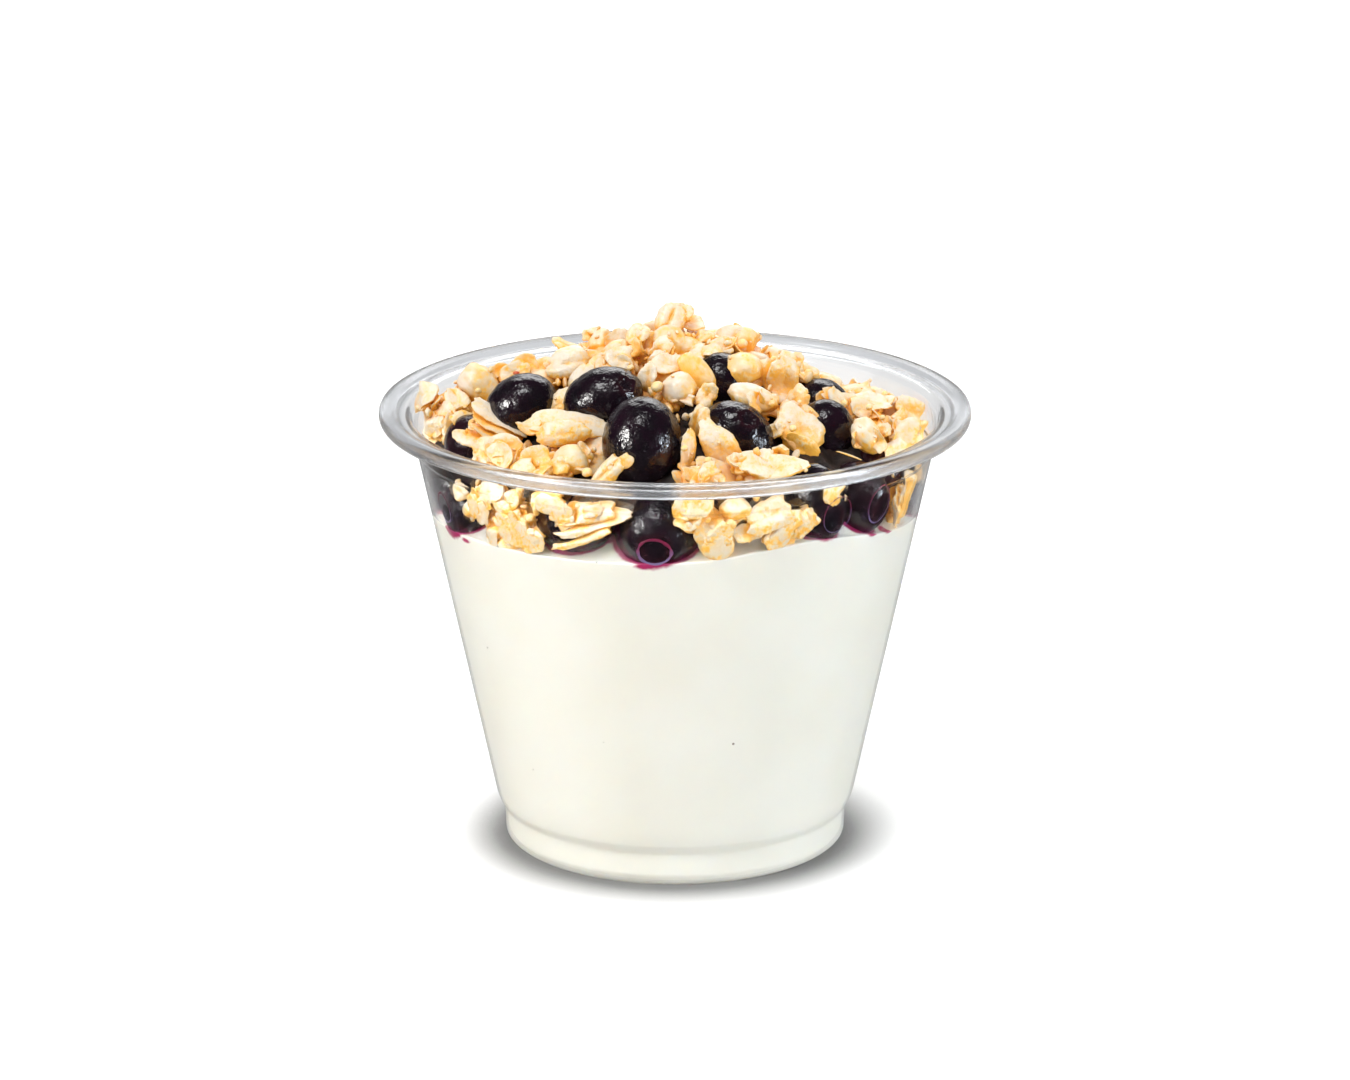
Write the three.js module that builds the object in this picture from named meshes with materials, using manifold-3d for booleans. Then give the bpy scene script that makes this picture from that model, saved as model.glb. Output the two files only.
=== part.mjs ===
// Yogurt parfait: a squat clear cup with a rolled rim and a stacking foot, filled with vanilla yogurt
// and topped with blueberries and a loose mound of granola. Millimetres, +Z up, origin under the
// middle of the foot, the shown side towards -Y.
import * as THREE from "three";
import { mergeVertices } from "three/addons/utils/BufferGeometryUtils.js";
import Module from "manifold-3d";

const wasm = await Module();
wasm.setup();

// Driving dimensions
const rimRadius = 46; // outside of the rolled rim
const cupHeight = 70.2;
const wallThickness = 0.6;
const wallFoot = { radius: 28.2, height: 8 }; // outside of the tapered wall, just above the foot
const wallTop = { radius: 39.84, height: 62 }; // outside of the tapered wall, under the stacking ledge
const ledgeHeight = 63.5;
const mouthRadius = 40.4; // inside of the wall at the rim
const footRadius = 26.8;
const footHeight = 5.4;
const gap = 0.3; // between pieces that touch
const around = 36; // facets round the cup and the yogurt
const yogurtLine = 53.1; // height where the yogurt meets the wall
const yogurtRise = 3.4; // from the wall up to its middle
const moundPeak = 79.5; // outline of the granola mound, without the pieces that stick out
const moundEdge = 66.5;
const backDrop = 5.5; // how much lower the mound ends at the back
const coreDepth = 2.5; // the core lies this far under the mound's outline
const coreClear = 1.3; // and this far above the yogurt
const pieceThickness = 1.3; // of a flake in its middle
const coreFacets = 18;
const backCount = 33; // pieces spread over the back of the mound

const rad = THREE.MathUtils.degToRad;

function seeded(seed) {
  let state = seed;
  return () => {
    state = (state * 1664525 + 1013904223) % 4294967296;
    return state / 4294967296;
  };
}

// Radius of the tapered wall's outside at a height
function wallRadius(z) {
  const slope = (wallTop.radius - wallFoot.radius) / (wallTop.height - wallFoot.height);
  return wallFoot.radius + slope * (z - wallFoot.height);
}

// ---- closed shapes and joins

// A closed skin over rings with equal counts of points, between a first and a last single point
function skin(first, rings, last) {
  const count = rings[0].length;
  const points = [first, ...rings.flat(), last];
  const index = [];
  for (let i = 0; i < count; i += 1) {
    const next = (i + 1) % count;
    index.push(0, 1 + next, 1 + i);
    for (let k = 0; k + 1 < rings.length; k += 1) {
      const low = 1 + k * count;
      const high = low + count;
      index.push(low + i, low + next, high + next);
      index.push(low + i, high + next, high + i);
    }
    const end = 1 + (rings.length - 1) * count;
    index.push(end + i, end + next, points.length - 1);
  }
  const shape = new THREE.BufferGeometry();
  shape.setAttribute("position", new THREE.Float32BufferAttribute(points.flat(), 3));
  shape.setIndex(index);
  return shape;
}

function solidOf(geometry) {
  const bare = geometry.clone();
  bare.deleteAttribute("normal");
  bare.deleteAttribute("uv");
  const merged = mergeVertices(bare, 1e-4);
  const vertProperties = new Float32Array(merged.attributes.position.array);
  const triVerts = new Uint32Array(merged.index.array);
  return new wasm.Manifold(new wasm.Mesh({ numProp: 3, vertProperties, triVerts }));
}

function geometryOf(solid) {
  const mesh = solid.getMesh();
  const shape = new THREE.BufferGeometry();
  shape.setAttribute("position", new THREE.BufferAttribute(new Float32Array(mesh.vertProperties), 3));
  shape.setIndex(new THREE.BufferAttribute(new Uint32Array(mesh.triVerts), 1));
  shape.computeVertexNormals();
  return shape;
}

// ---- cup

// Inside of the cup from the middle of its floor up to the mouth, as [radius, height]
function insideLine(inset) {
  const low = 1.3 + inset;
  const foot = footRadius - wallThickness - inset;
  const floorEdge = wallRadius(8.4) - wallThickness - inset;
  return [
    [19.4, low],
    [20.6, 0.6 + inset],
    [foot - 0.8, 0.8 + inset],
    [foot, 1.8 + inset],
    [foot + 0.1, footHeight],
    [floorEdge - 0.4, 6.9 + inset * 0.5],
    [floorEdge, 8.4],
    [wallRadius(ledgeHeight) - wallThickness - inset, ledgeHeight],
    [mouthRadius - inset, cupHeight - 3],
  ];
}

function cupGeometry() {
  const outside = [
    [20, 0.7],
    [20.6, 0],
    [footRadius - 1.2, 0],
    [footRadius - 0.1, 0.9],
    [footRadius + 0.1, footHeight],
    [wallFoot.radius - 0.5, 6.6],
    [wallFoot.radius, wallFoot.height],
    [wallRadius(ledgeHeight), ledgeHeight],
    [mouthRadius + wallThickness, cupHeight - 2.6],
    [mouthRadius + 1.3, cupHeight - 1.7],
    [rimRadius - 2.7, cupHeight - 1.6],
    [rimRadius - 2.2, cupHeight - 2.5],
    [rimRadius - 1.2, cupHeight - 2.8],
    [rimRadius - 0.2, cupHeight - 2],
    [rimRadius, cupHeight - 1],
    [rimRadius - 1.2, cupHeight],
    [rimRadius - 2.4, cupHeight - 0.5],
    [rimRadius - 2.9, cupHeight - 1],
    [mouthRadius + 0.7, cupHeight - 1.3],
  ];
  const inside = insideLine(0).reverse();
  const line = [[0, 0.7], ...outside, ...inside, [0, 1.3]];
  const lathe = new THREE.LatheGeometry(line.map(([r, z]) => new THREE.Vector2(r, z)), around);
  lathe.rotateX(Math.PI / 2);
  return lathe;
}

// ---- yogurt

// Height of the yogurt's uneven top, with swells where the toppings press it
function yogurtTop(x, y) {
  const out = Math.hypot(x, y);
  const angle = Math.atan2(x, -y);
  const line = yogurtLine + Math.cos(angle) + 1.5 * Math.exp(-(((angle - rad(32)) / rad(22)) ** 2));
  const inward = 1 - THREE.MathUtils.smoothstep(out, 32.5, 37.4);
  const wave = 0.4 * Math.sin(x * 0.31 + 1) * Math.cos(y * 0.27);
  return line + (yogurtRise + wave) * inward;
}

function ringAt(radius, height, count = around) {
  return Array.from({ length: count }, (_, i) => {
    const angle = (i / count) * 2 * Math.PI;
    const x = radius * Math.cos(angle);
    const y = radius * Math.sin(angle);
    return [x, y, height(x, y)];
  });
}

const yogurtRings = [36.2, 34.4, 32.4, 22, 10];

// The wall line that a body standing lift above the yogurt's top starts from
function rimOfYogurt(lift) {
  const radius = (z) => wallRadius(z) - wallThickness - gap;
  return ringAt(1, () => 0).map(([cos, sin]) => {
    let z = yogurtLine;
    for (let step = 0; step < 4; step += 1) {
      z = yogurtTop(radius(z) * cos, radius(z) * sin) + lift;
    }
    return [radius(z) * cos, radius(z) * sin, z];
  });
}

function yogurtGeometry() {
  const sides = insideLine(gap).slice(0, 7);
  const low = sides.map(([r, z]) => ringAt(r, () => z));
  const top = yogurtRings.map((r) => ringAt(r, yogurtTop));
  const rings = [...low, rimOfYogurt(0), ...top];
  return skin([0, 0, sides[0][1]], rings, [0, 0, yogurtTop(0, 0)]);
}

// The free space for the toppings: above the yogurt, inside the wall and open upwards
function toppingSpace() {
  const lift = 40;
  const overYogurt = (x, y) => yogurtTop(x, y) + gap;
  const floor = [...yogurtRings].reverse().map((r) => ringAt(r, overYogurt));
  const ledge = wallRadius(ledgeHeight) - wallThickness - gap;
  const walls = [
    ringAt(ledge, () => ledgeHeight),
    ringAt(mouthRadius - gap, () => cupHeight - 3),
    ringAt(mouthRadius - gap, () => cupHeight + lift),
  ];
  const rings = [...floor, rimOfYogurt(gap), ...walls];
  return skin([0, 0, overYogurt(0, 0)], rings, [0, 0, cupHeight + lift]);
}

// ---- blueberries

// at: middle. size: across, deep, tall. roll: degrees that the right end rises. turn: degrees about
// the vertical. crown: where the crown looks, as degrees round from the front and degrees up.
const onWall = (angle, out, z) => [out * Math.sin(rad(angle)), -out * Math.cos(rad(angle)), z];
const berries = [
  { at: [-5, -26, 71], size: [12, 13.5, 14.2], crown: [105, 15] },
  { at: [-11, -14.5, 74.5], size: [12.8, 10.4, 10], roll: 22, crown: [44, 37] },
  { at: [-23.5, -12.5, 73.2], size: [11.4, 10, 9.6], roll: 28, crown: [170, 30] },
  { at: [9.5, -20.5, 70.5], size: [12.4, 10, 10], roll: -42, crown: [31, 45] },
  { at: [7, -6, 75], size: [9.6, 9.6, 9.6], crown: [150, 20] },
  { at: [22.5, 4, 68], size: [9.8, 9.8, 9.8], crown: [120, 10] },
  { at: [23, -12, 69], size: [9, 9, 9.8], crown: [-120, 0] },
  { at: [31, -13, 63], size: [8.2, 8.2, 8.2], crown: [-60, -30] },
  { at: [-31, -9, 66.2], size: [9.2, 9.2, 9], crown: [60, 40] },
  { at: [-33.5, -3.5, 57.5], size: [9.8, 9.8, 9.8], turn: -84, crown: [120, 0] },
  { at: onWall(-64, 33.9, 57.4), size: [9.6, 9.6, 9.8], turn: -64, crown: [100, 0] },
  { at: onWall(-26.5, 33.5, 60), size: [12.6, 10, 9.6], turn: -26.5, crown: [-70, 20] },
  { at: onWall(-4.5, 32.6, 59.3), size: [13.2, 13, 12.2], turn: -4.5, crown: [120, -20] },
  { at: onWall(37.5, 34.4, 62), size: [9.4, 10.4, 12.4], turn: 37.5, crown: [150, 0] },
  { at: onWall(53.5, 34.5, 61), size: [8.2, 10, 11.2], turn: 53.5, crown: [200, 0] },
  { at: onWall(82, 33.8, 57), size: [9.2, 9.4, 10], turn: 82, crown: [-60, 20] },
  { at: [11.6, -26, 59.6], size: [9.2, 9.2, 9.2], crown: [100, 20] },
  { at: [-13.6, -20, 65.4], size: [9.4, 9.4, 9.2], crown: [100, 20] },
  { at: [-22.8, -20, 62.4], size: [8.6, 8.6, 8.6], crown: [-100, 30] },
  { at: [2.4, -18.5, 63.6], size: [9.2, 9.2, 9.2], crown: [60, -10] },
  { at: onWall(106, 32, 61), size: [10.4, 10.4, 9.6], crown: [100, 50] },
  { at: onWall(132, 21.5, 66.5), size: [11, 10.4, 9.8], crown: [150, 50] },
  { at: onWall(134, 33, 58.5), size: [11, 10.8, 10.4], crown: [30, 20] },
  { at: onWall(167, 20, 67.5), size: [11.4, 10.4, 9.8], crown: [190, 60] },
  { at: onWall(158, 32.5, 60), size: [10, 10.4, 9.8], crown: [158, 50] },
  { at: onWall(200, 13, 70.5), size: [10.4, 10.4, 9.8], crown: [215, 40] },
  { at: onWall(190, 33, 58), size: [10.6, 10.4, 10.6], crown: [100, 20] },
  { at: onWall(215, 23, 67.5), size: [11, 10, 9.6], crown: [180, 50] },
  { at: onWall(222, 33.4, 59.5), size: [10.8, 10.4, 10], crown: [222, 40] },
  { at: onWall(250, 31.5, 61), size: [10, 10.4, 9.8], crown: [270, 40] },
];

const ballShape = { facets: 8, rings: [22, 46, 86, 132] }; // degrees from the crown on
const crownRelief = { middle: -0.16, rings: [-0.1, 0.02, 0, 0] }; // share of the radius

function facing([angle, rise]) {
  const flat = Math.cos(rad(rise));
  return new THREE.Vector3(flat * Math.sin(rad(angle)), -flat * Math.cos(rad(angle)), Math.sin(rad(rise)));
}

// An uneven ball; grow swells every side, and relief shapes the crown
function berryGeometry(berry, shape, grow, relief) {
  const turnIt = new THREE.Quaternion().setFromEuler(
    new THREE.Euler(0, rad(-(berry.roll ?? 0)), rad(berry.turn ?? 0), "ZYX"),
  );
  const back = turnIt.clone().invert();
  const toCrown = new THREE.Quaternion().setFromUnitVectors(new THREE.Vector3(0, 0, 1), facing(berry.crown));
  const half = berry.size.map((side) => side / 2 + grow);
  const place = (angle, spin, dent) => {
    const ray = new THREE.Vector3(
      Math.sin(rad(angle)) * Math.cos(rad(spin)),
      Math.sin(rad(angle)) * Math.sin(rad(spin)),
      Math.cos(rad(angle)),
    );
    const local = ray.applyQuaternion(toCrown).applyQuaternion(back);
    const point = new THREE.Vector3(local.x * half[0], local.y * half[1], local.z * half[2]);
    point.multiplyScalar(1 + dent).applyQuaternion(turnIt).add(new THREE.Vector3(...berry.at));
    return point.toArray();
  };
  const rings = shape.rings.map((angle, k) =>
    Array.from({ length: shape.facets }, (_, i) => {
      const spin = ((i + (k % 2) / 2) * 360) / shape.facets;
      return place(angle, spin, relief ? relief.rings[k] : 0);
    }),
  );
  const ends = [place(0, 0, relief ? relief.middle : 0), place(180, 0, 0)];
  return skin(ends[1], rings.reverse(), ends[0]);
}

// ---- granola

// Where the mound swells beyond its even outline
const swells = [
  { at: [-34, -2], height: 4.5, spread: 7 },
  { at: [0, 1], height: 4, spread: 5 },
  { at: [32, -5], height: 1.5, spread: 7 },
];

// Outline of the mound at a place: highest in the middle, lower at the back wall than at the front
function moundTop(x, y) {
  const out = Math.min(Math.hypot(x, y), 39);
  const behind = THREE.MathUtils.clamp(0.35 + y / Math.max(out, 1), 0, 1);
  const edge = moundEdge - backDrop * behind;
  const swell = swells.reduce((sum, { at, height, spread }) =>
    sum + height * Math.exp(-(((x - at[0]) ** 2 + (y - at[1]) ** 2) / spread ** 2)), 0);
  return edge + (moundPeak - edge) * (1 - (out / 39) ** 1.8) + swell;
}

function coreGeometry() {
  const random = seeded(7);
  const uneven = (rings, amount) =>
    rings.map((ring) => ring.map(([x, y, z]) => {
      const pull = 1 - (amount * random()) / Math.max(Math.hypot(x, y), 1);
      return [x * pull, y * pull, z];
    }));
  const underside = (x, y) => yogurtTop(x, y) + coreClear;
  const low = [14, 28, 34].map((r) => ringAt(r, underside, coreFacets));
  const wall = [
    ringAt(36.2, (x, y) => underside(x, y) + 1, coreFacets),
    ringAt(37, (x, y) => 0.5 * (yogurtTop(x, y) + moundTop(x, y)) - 1, coreFacets),
    ringAt(36.6, (x, y) => moundTop(x, y) - coreDepth - 1, coreFacets),
  ];
  const top = [32, 25, 17, 9].map((r) =>
    ringAt(r, (x, y) => moundTop(x, y) - coreDepth - random(), coreFacets));
  const rings = [...low, ...uneven(wall, 1.6), ...top];
  return skin([0, 0, underside(0, 0)], rings, [0, 0, moundTop(0, 0) - coreDepth]);
}

// Pieces that show. at: middle. size: length and width. tip: [roll, rise, turn] in degrees, where a
// roll of 0 lies flat and 90 stands facing the front, rise lifts the right end, and turn is about
// the vertical.
const pieces = {
  flake: [
    // left side
    { at: [-37.6, -1.5, 68.6], size: [6, 4.5], tip: [80, 80, -60] },
    { at: [-36.4, -2.5, 68.8], size: [7, 4.2], tip: [70, 75, -15] },
    { at: [-34.6, -2.8, 69.5], size: [5.6, 3.5], tip: [60, 72, 45] },
    { at: [-32, -3.5, 70.2], size: [5.6, 5], tip: [60, 25, -10] },
    { at: [-32, -8.4, 69.8], size: [5, 4], tip: [5, -5, 0] },
    { at: [-26, -15.9, 72], size: [8.8, 5.2], tip: [14, -32, 0] },
    { at: [-26, -20.3, 70.5], size: [8.8, 5.2], tip: [17, -25, 0] },
    { at: [-30, -16.9, 69.6], size: [5.5, 4], tip: [12, -28, 0] },
    { at: [-22, -27.8, 69.5], size: [4.5, 2.6], tip: [85, 80, 20] },
    // left of the middle
    { at: [-15, 2, 78.1], size: [7, 4], tip: [8, -16, 0] },
    { at: [-11.8, -4.5, 77.5], size: [4.8, 4.2], tip: [45, 35, 20] },
    { at: [-14.6, -9.9, 77], size: [6, 3.8], tip: [65, 60, 0] },
    { at: [-17.6, -14.9, 74.8], size: [5.4, 4.2], tip: [60, 40, 0] },
    { at: [-9, 5, 77.9], size: [5.4, 4], tip: [75, 80, 10] },
    { at: [-5.4, 1, 80.1], size: [8, 3.8], tip: [75, 76, 0] },
    { at: [-4.3, -4.5, 78.9], size: [8.2, 3.6], tip: [60, 82, 60] },
    { at: [-16.5, -23.3, 71.9], size: [8.4, 4.8], tip: [70, 4, 0] },
    { at: [-16, -21.3, 72.9], size: [11, 5.4], tip: [22, -3, 8] },
    { at: [-9.7, -33.8, 68.9], size: [6.8, 3], tip: [60, 48, 0] },
    // tall middle group
    { at: [-2.2, 0, 83.9], size: [5.2, 3.4], tip: [75, 78, 15] },
    { at: [0.9, 0, 83.1], size: [5.8, 3.6], tip: [75, -70, -20] },
    { at: [-2.8, -7.9, 79.2], size: [4.6, 2.6], tip: [70, 55, 0] },
    { at: [3.3, -11.4, 79.2], size: [6.6, 3.8], tip: [70, -55, 0] },
    { at: [-4, -11.9, 78], size: [4.6, 3], tip: [75, 85, 0] },
    { at: [5, -15.9, 76.2], size: [5.4, 3.4], tip: [60, 60, 30] },
    { at: [3.8, -20.3, 73.1], size: [4.6, 3], tip: [70, 65, -30] },
    { at: [2.3, -28.3, 69.5], size: [8.2, 3.4], tip: [60, 80, 65] },
    // right of the middle
    { at: [17.8, -5, 78.1], size: [5, 3.4], tip: [55, -10, 0] },
    { at: [17.4, -8.9, 76.2], size: [7.4, 5.2], tip: [70, -70, 10] },
    { at: [15.4, -9.4, 76.4], size: [4, 3], tip: [70, 40, 0] },
    { at: [18.4, -11.9, 74.4], size: [5, 4.4], tip: [65, 60, -20] },
    { at: [19, -20.8, 71.9], size: [7.6, 6], tip: [62, -50, 10] },
    { at: [14.9, -23.3, 72.1], size: [3.6, 2.4], tip: [60, 60, 0] },
    { at: [18.4, -22.3, 69.5], size: [5, 4], tip: [100, -20, 0] },
    { at: [7.1, -27.8, 70.9], size: [9, 5], tip: [70, -60, 0] },
    { at: [15.9, -28.8, 70.1], size: [5.4, 2.8], tip: [75, 85, 0] },
    { at: [15.2, -31.8, 68.3], size: [9.6, 4.8], tip: [30, 3, 0] },
    // right side
    { at: [25.2, -9.9, 72], size: [5, 2.8], tip: [70, -60, 30] },
    { at: [27.8, -7.9, 72], size: [4.8, 3], tip: [40, -55, 30] },
    { at: [30, -3, 73], size: [4.2, 3], tip: [20, 10, 0] },
    { at: [35.6, -2.5, 70.4], size: [5.6, 4.2], tip: [60, -45, 30] },
    { at: [32, -8.9, 69.2], size: [3.4, 2.6], tip: [60, 40, 0] },
    { at: [33.8, -12.4, 66.4], size: [5, 3.6], tip: [50, 10, 30] },
    { at: [37.4, -3, 65.8], size: [5, 4], tip: [75, 80, 75] },
    // seen through the wall
    { at: [-27.6, -25.4, 63.4], size: [5.6, 3.8], tip: [70, 10, -47] },
    { at: [-32.6, -18, 62], size: [3.6, 2.8], tip: [70, -20, -60] },
    { at: [-12.6, -34.8, 62.6], size: [12, 4], tip: [55, 18, -20] },
    { at: [-10.6, -34.6, 64.2], size: [8, 4], tip: [30, 14, -18] },
    { at: [14.6, -34.2, 62.8], size: [9.6, 5], tip: [70, 24, 22] },
    { at: [19.6, -31.5, 61.5], size: [4.4, 3.2], tip: [75, 30, 30] },
    { at: [37.2, -7, 61.8], size: [4.4, 3.2], tip: [80, 80, 78] },
  ],
  puff: [
    { at: [-30, 0, 73.7], size: [8.2, 6.6], tip: [0, -50, 0] },
    { at: [-27, -24.6, 68.5], size: [6.4, 4.4], tip: [0, 0, 0] },
    { at: [-16.2, -1, 76.9], size: [6.4, 5.2], tip: [0, 10, 0] },
    { at: [-11.5, 6, 78.1], size: [5, 4.6], tip: [0, 60, 0] },
    { at: [-9, -4.5, 77.5], size: [5, 3.4], tip: [0, 0, 0] },
    { at: [-1.1, -3, 80.5], size: [6.4, 5.8], tip: [0, 20, 0] },
    { at: [-0.8, 0.6, 82.4], size: [5.4, 4.4], tip: [0, 80, 0] },
    { at: [0.6, -15.9, 76.4], size: [5.8, 5.6], tip: [0, 0, 0] },
    { at: [-15.6, -29.3, 68.9], size: [6, 5.4], tip: [0, 0, 0] },
    { at: [-19.4, -30.3, 68.3], size: [4.6, 3.8], tip: [0, 0, 0] },
    { at: [8, 2, 79.5], size: [4.2, 4], tip: [0, 70, 0] },
    { at: [11, 2, 79.5], size: [4.6, 4.2], tip: [0, -40, 0] },
    { at: [11.3, -4.5, 77.7], size: [6.8, 6.2], tip: [0, 0, 0] },
    { at: [12, -13.9, 75.2], size: [8.4, 4.8], tip: [0, -20, 0] },
    { at: [29.3, -15.4, 69], size: [6.4, 5], tip: [0, -60, 0] },
    { at: [31, -5, 70.4], size: [6.6, 4.6], tip: [0, -10, 0] },
    { at: [35, -7.4, 67.6], size: [5, 4.6], tip: [0, 60, 0] },
    { at: [-26.4, -25.4, 60], size: [6.6, 5.4], tip: [0, 60, -45] },
    { at: [-30.6, -20.4, 59.2], size: [3.6, 3.2], tip: [0, 0, -50] },
    { at: [-24, -27.8, 58.8], size: [3.8, 3.2], tip: [0, 10, -40] },
    { at: [-24.4, -26, 59], size: [5.6, 4.4], tip: [0, 10, -45] },
    { at: [-18.6, -31.4, 64], size: [4.6, 4], tip: [0, 0, -30] },
    { at: [9, -35.4, 63.8], size: [5, 3.8], tip: [0, 0, 14] },
    { at: [6.2, -35, 59], size: [5.4, 5.2], tip: [0, 0, 10] },
    { at: [16.9, -32.4, 59.8], size: [7.4, 4.2], tip: [0, 20, 27] },
    { at: [33.8, -14.6, 60.4], size: [4, 3.2], tip: [0, 80, 65] },
  ],
  crumb: [
    { at: [-36.5, -1, 72], size: [3.8, 3.2], tip: [0, 50, 0] },
    { at: [-24.3, 1.5, 74.9], size: [4.2, 3.6], tip: [0, 60, 0] },
    { at: [-20.3, -1, 75.1], size: [3.4, 2.6], tip: [0, 0, 0] },
    { at: [-5.8, -4, 78.3], size: [4, 4], tip: [0, 0, 0] },
    { at: [0.2, 2, 84.6], size: [2.8, 2.6], tip: [0, 0, 0] },
    { at: [3.1, 1, 79.9], size: [3.4, 3.2], tip: [0, 30, 0] },
    { at: [-1.2, -9.9, 78.4], size: [3.6, 3.2], tip: [0, 0, 0] },
    { at: [4.3, -32.3, 68.1], size: [3.2, 2.6], tip: [0, 0, 0] },
    { at: [5.4, -2, 79.1], size: [3.8, 3.2], tip: [0, 0, 0] },
    { at: [7.6, -1, 78.7], size: [3, 3], tip: [0, 0, 0] },
    { at: [11.8, -30.3, 69.5], size: [3, 2.8], tip: [0, 0, 0] },
    { at: [-20.6, -31, 60.2], size: [2.6, 2.2], tip: [0, 0, 0] },
    { at: [2.9, -36.6, 63.4], size: [3.6, 3.4], tip: [0, 0, 0] },
    { at: [10.9, -34.8, 60.2], size: [4.6, 3.4], tip: [0, 10, 17] },
    { at: [34, -15.2, 58.6], size: [3.8, 3.4], tip: [0, 60, 65] },
    { at: [-2.8, -15.4, 77], size: [2.2, 2.2], tip: [0, 0, 0] },
    { at: [10.4, -4, 80.3], size: [2.2, 2.2], tip: [0, 0, 0] },
    { at: [8.3, -36.4, 61.8], size: [2.2, 2.2], tip: [0, 0, 0] },
  ],
};

// Deep gaps between the pieces, where berries lie further in
const hollows = [
  { at: [-13.4, -23, 70.5], size: [6.5, 9], tip: [0, 0, 0] },
  { at: [3.8, -24, 69.5], size: [5, 9.5], tip: [0, 0, 0] },
  { at: [-20.5, -20.5, 70], size: [5, 7], tip: [0, 0, 0] },
  { at: [15.4, -33, 58.6], size: [5, 6], tip: [0, 0, 20] },
  { at: [-24.6, -26, 62], size: [10, 7], tip: [0, 0, 46] },
];

// More pieces over the back of the mound, spread by a golden-angle rule
function backPieces() {
  const random = seeded(23);
  const list = { flake: [], puff: [], crumb: [] };
  const kinds = ["flake", "puff", "flake", "crumb", "flake"];
  for (let i = 0; i < backCount; i += 1) {
    const out = 8 + 28 * Math.sqrt((i + 0.5) / backCount);
    const angle = 90 + (((i * 137.508) % 360) / 360) * 180;
    const [x, y] = onWall(angle, out, 0);
    const kind = kinds[i % kinds.length];
    const length = { flake: 7.5, puff: 6, crumb: 3.4 }[kind] * (0.8 + 0.4 * random());
    const lie = kind === "flake" ? 70 * (random() - 0.2) : 0;
    list[kind].push({
      at: [x, y, moundTop(x, y) - 2.3 + 1.2 * random()],
      size: [length, length * (0.6 + 0.2 * random())],
      tip: [lie, 60 * (random() - 0.5), 360 * random()],
    });
  }
  return list;
}

function placed(geometry, { at, tip }) {
  const [roll, rise, turn] = tip.map(rad);
  const lay = new THREE.Matrix4().makeRotationFromEuler(new THREE.Euler(roll, -rise, turn, "ZYX"));
  return geometry.applyMatrix4(lay.setPosition(...at));
}

// A rolled oat: an uneven oval plate with a curl, thin at its edge
function flakeGeometry({ size: [length, width] }, random) {
  const facets = 6;
  const curl = 0.5 + 0.7 * random();
  const edge = Array.from({ length: facets }, (_, i) => {
    const angle = (i / facets) * 2 * Math.PI;
    const reach = 0.9 + 0.2 * random();
    const x = (length / 2) * Math.cos(angle) * reach;
    const y = (width / 2) * Math.sin(angle) * reach;
    return [x, y, curl * ((2 * x) / length) ** 2 - 0.3];
  });
  return skin([0, 0, -0.3 - pieceThickness / 2], [edge], [0, 0, -0.3 + pieceThickness / 2]);
}

// A puffed grain: a lumpy egg
function puffGeometry({ size: [length, width] }, random) {
  const facets = 6;
  const rings = [-32, 32].map((rise, k) =>
    Array.from({ length: facets }, (_, i) => {
      const angle = ((i + (k % 2) / 2) / facets) * 2 * Math.PI;
      const reach = (0.94 + 0.12 * random()) * Math.cos(rad(rise));
      const x = (length / 2) * Math.cos(angle) * reach;
      const y = (width / 2) * Math.sin(angle) * reach;
      return [x, y, (width / 2) * Math.sin(rad(rise))];
    }),
  );
  return skin([0, 0, -width / 2], rings, [0, 0, width / 2]);
}

// A crumb or a bead: a ball of few faces
function crumbGeometry({ size: [length, width] }) {
  return new THREE.OctahedronGeometry(1, 0).scale(length / 2, width / 2, width / 2);
}

// The room of a deep gap
function hollowGeometry({ size: [length, width] }) {
  return new THREE.IcosahedronGeometry(1, 0).scale(length / 2, width / 2, width / 2);
}

// A piece that would cross the cup, the yogurt or a berry is moved away from it a little at a time,
// one that hangs free is moved in until it meets the rest, and a piece that finds no place is made
// smaller or, in the end, left out.
function fitted(make, piece, heap, cutters, room) {
  const step = 0.45;
  const tiny = 1e-3;
  const bond = 0.1; // least shared volume, in cubic millimetres
  const rounds = 14;
  for (const shrink of [1, 0.86, 0.72]) {
    const at = [...piece.at];
    const size = piece.size.map((side) => side * shrink);
    for (let tries = 0; tries < rounds; tries += 1) {
      const solid = solidOf(placed(make({ size }, seeded(piece.seed)), { at, tip: piece.tip }));
      const push = [0, 0, 0];
      berries.forEach((berry, i) => {
        const away = at.map((side, axis) => side - berry.at[axis]);
        const apart = Math.hypot(...away);
        const near = (Math.max(...berry.size) + size[0]) / 2 + 1;
        if (apart < near && solid.intersect(cutters[i]).volume() > tiny) {
          away.forEach((side, axis) => { push[axis] += (side / apart) * step; });
        }
      });
      if (solid.subtract(room).volume() > tiny) {
        const out = Math.hypot(at[0], at[1]);
        push[0] -= (at[0] / out) * step;
        push[1] -= (at[1] / out) * step;
        push[2] += step / 3;
      }
      if (Math.hypot(...push) === 0) {
        if (solid.intersect(heap).volume() > bond) {
          return solid;
        }
        const inward = [-at[0], -at[1], yogurtLine + 5 - at[2]];
        inward.forEach((side, axis) => { push[axis] += (side / Math.hypot(...inward)) * step; });
      }
      push.forEach((side, axis) => { at[axis] += side; });
    }
  }
  return null;
}

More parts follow.
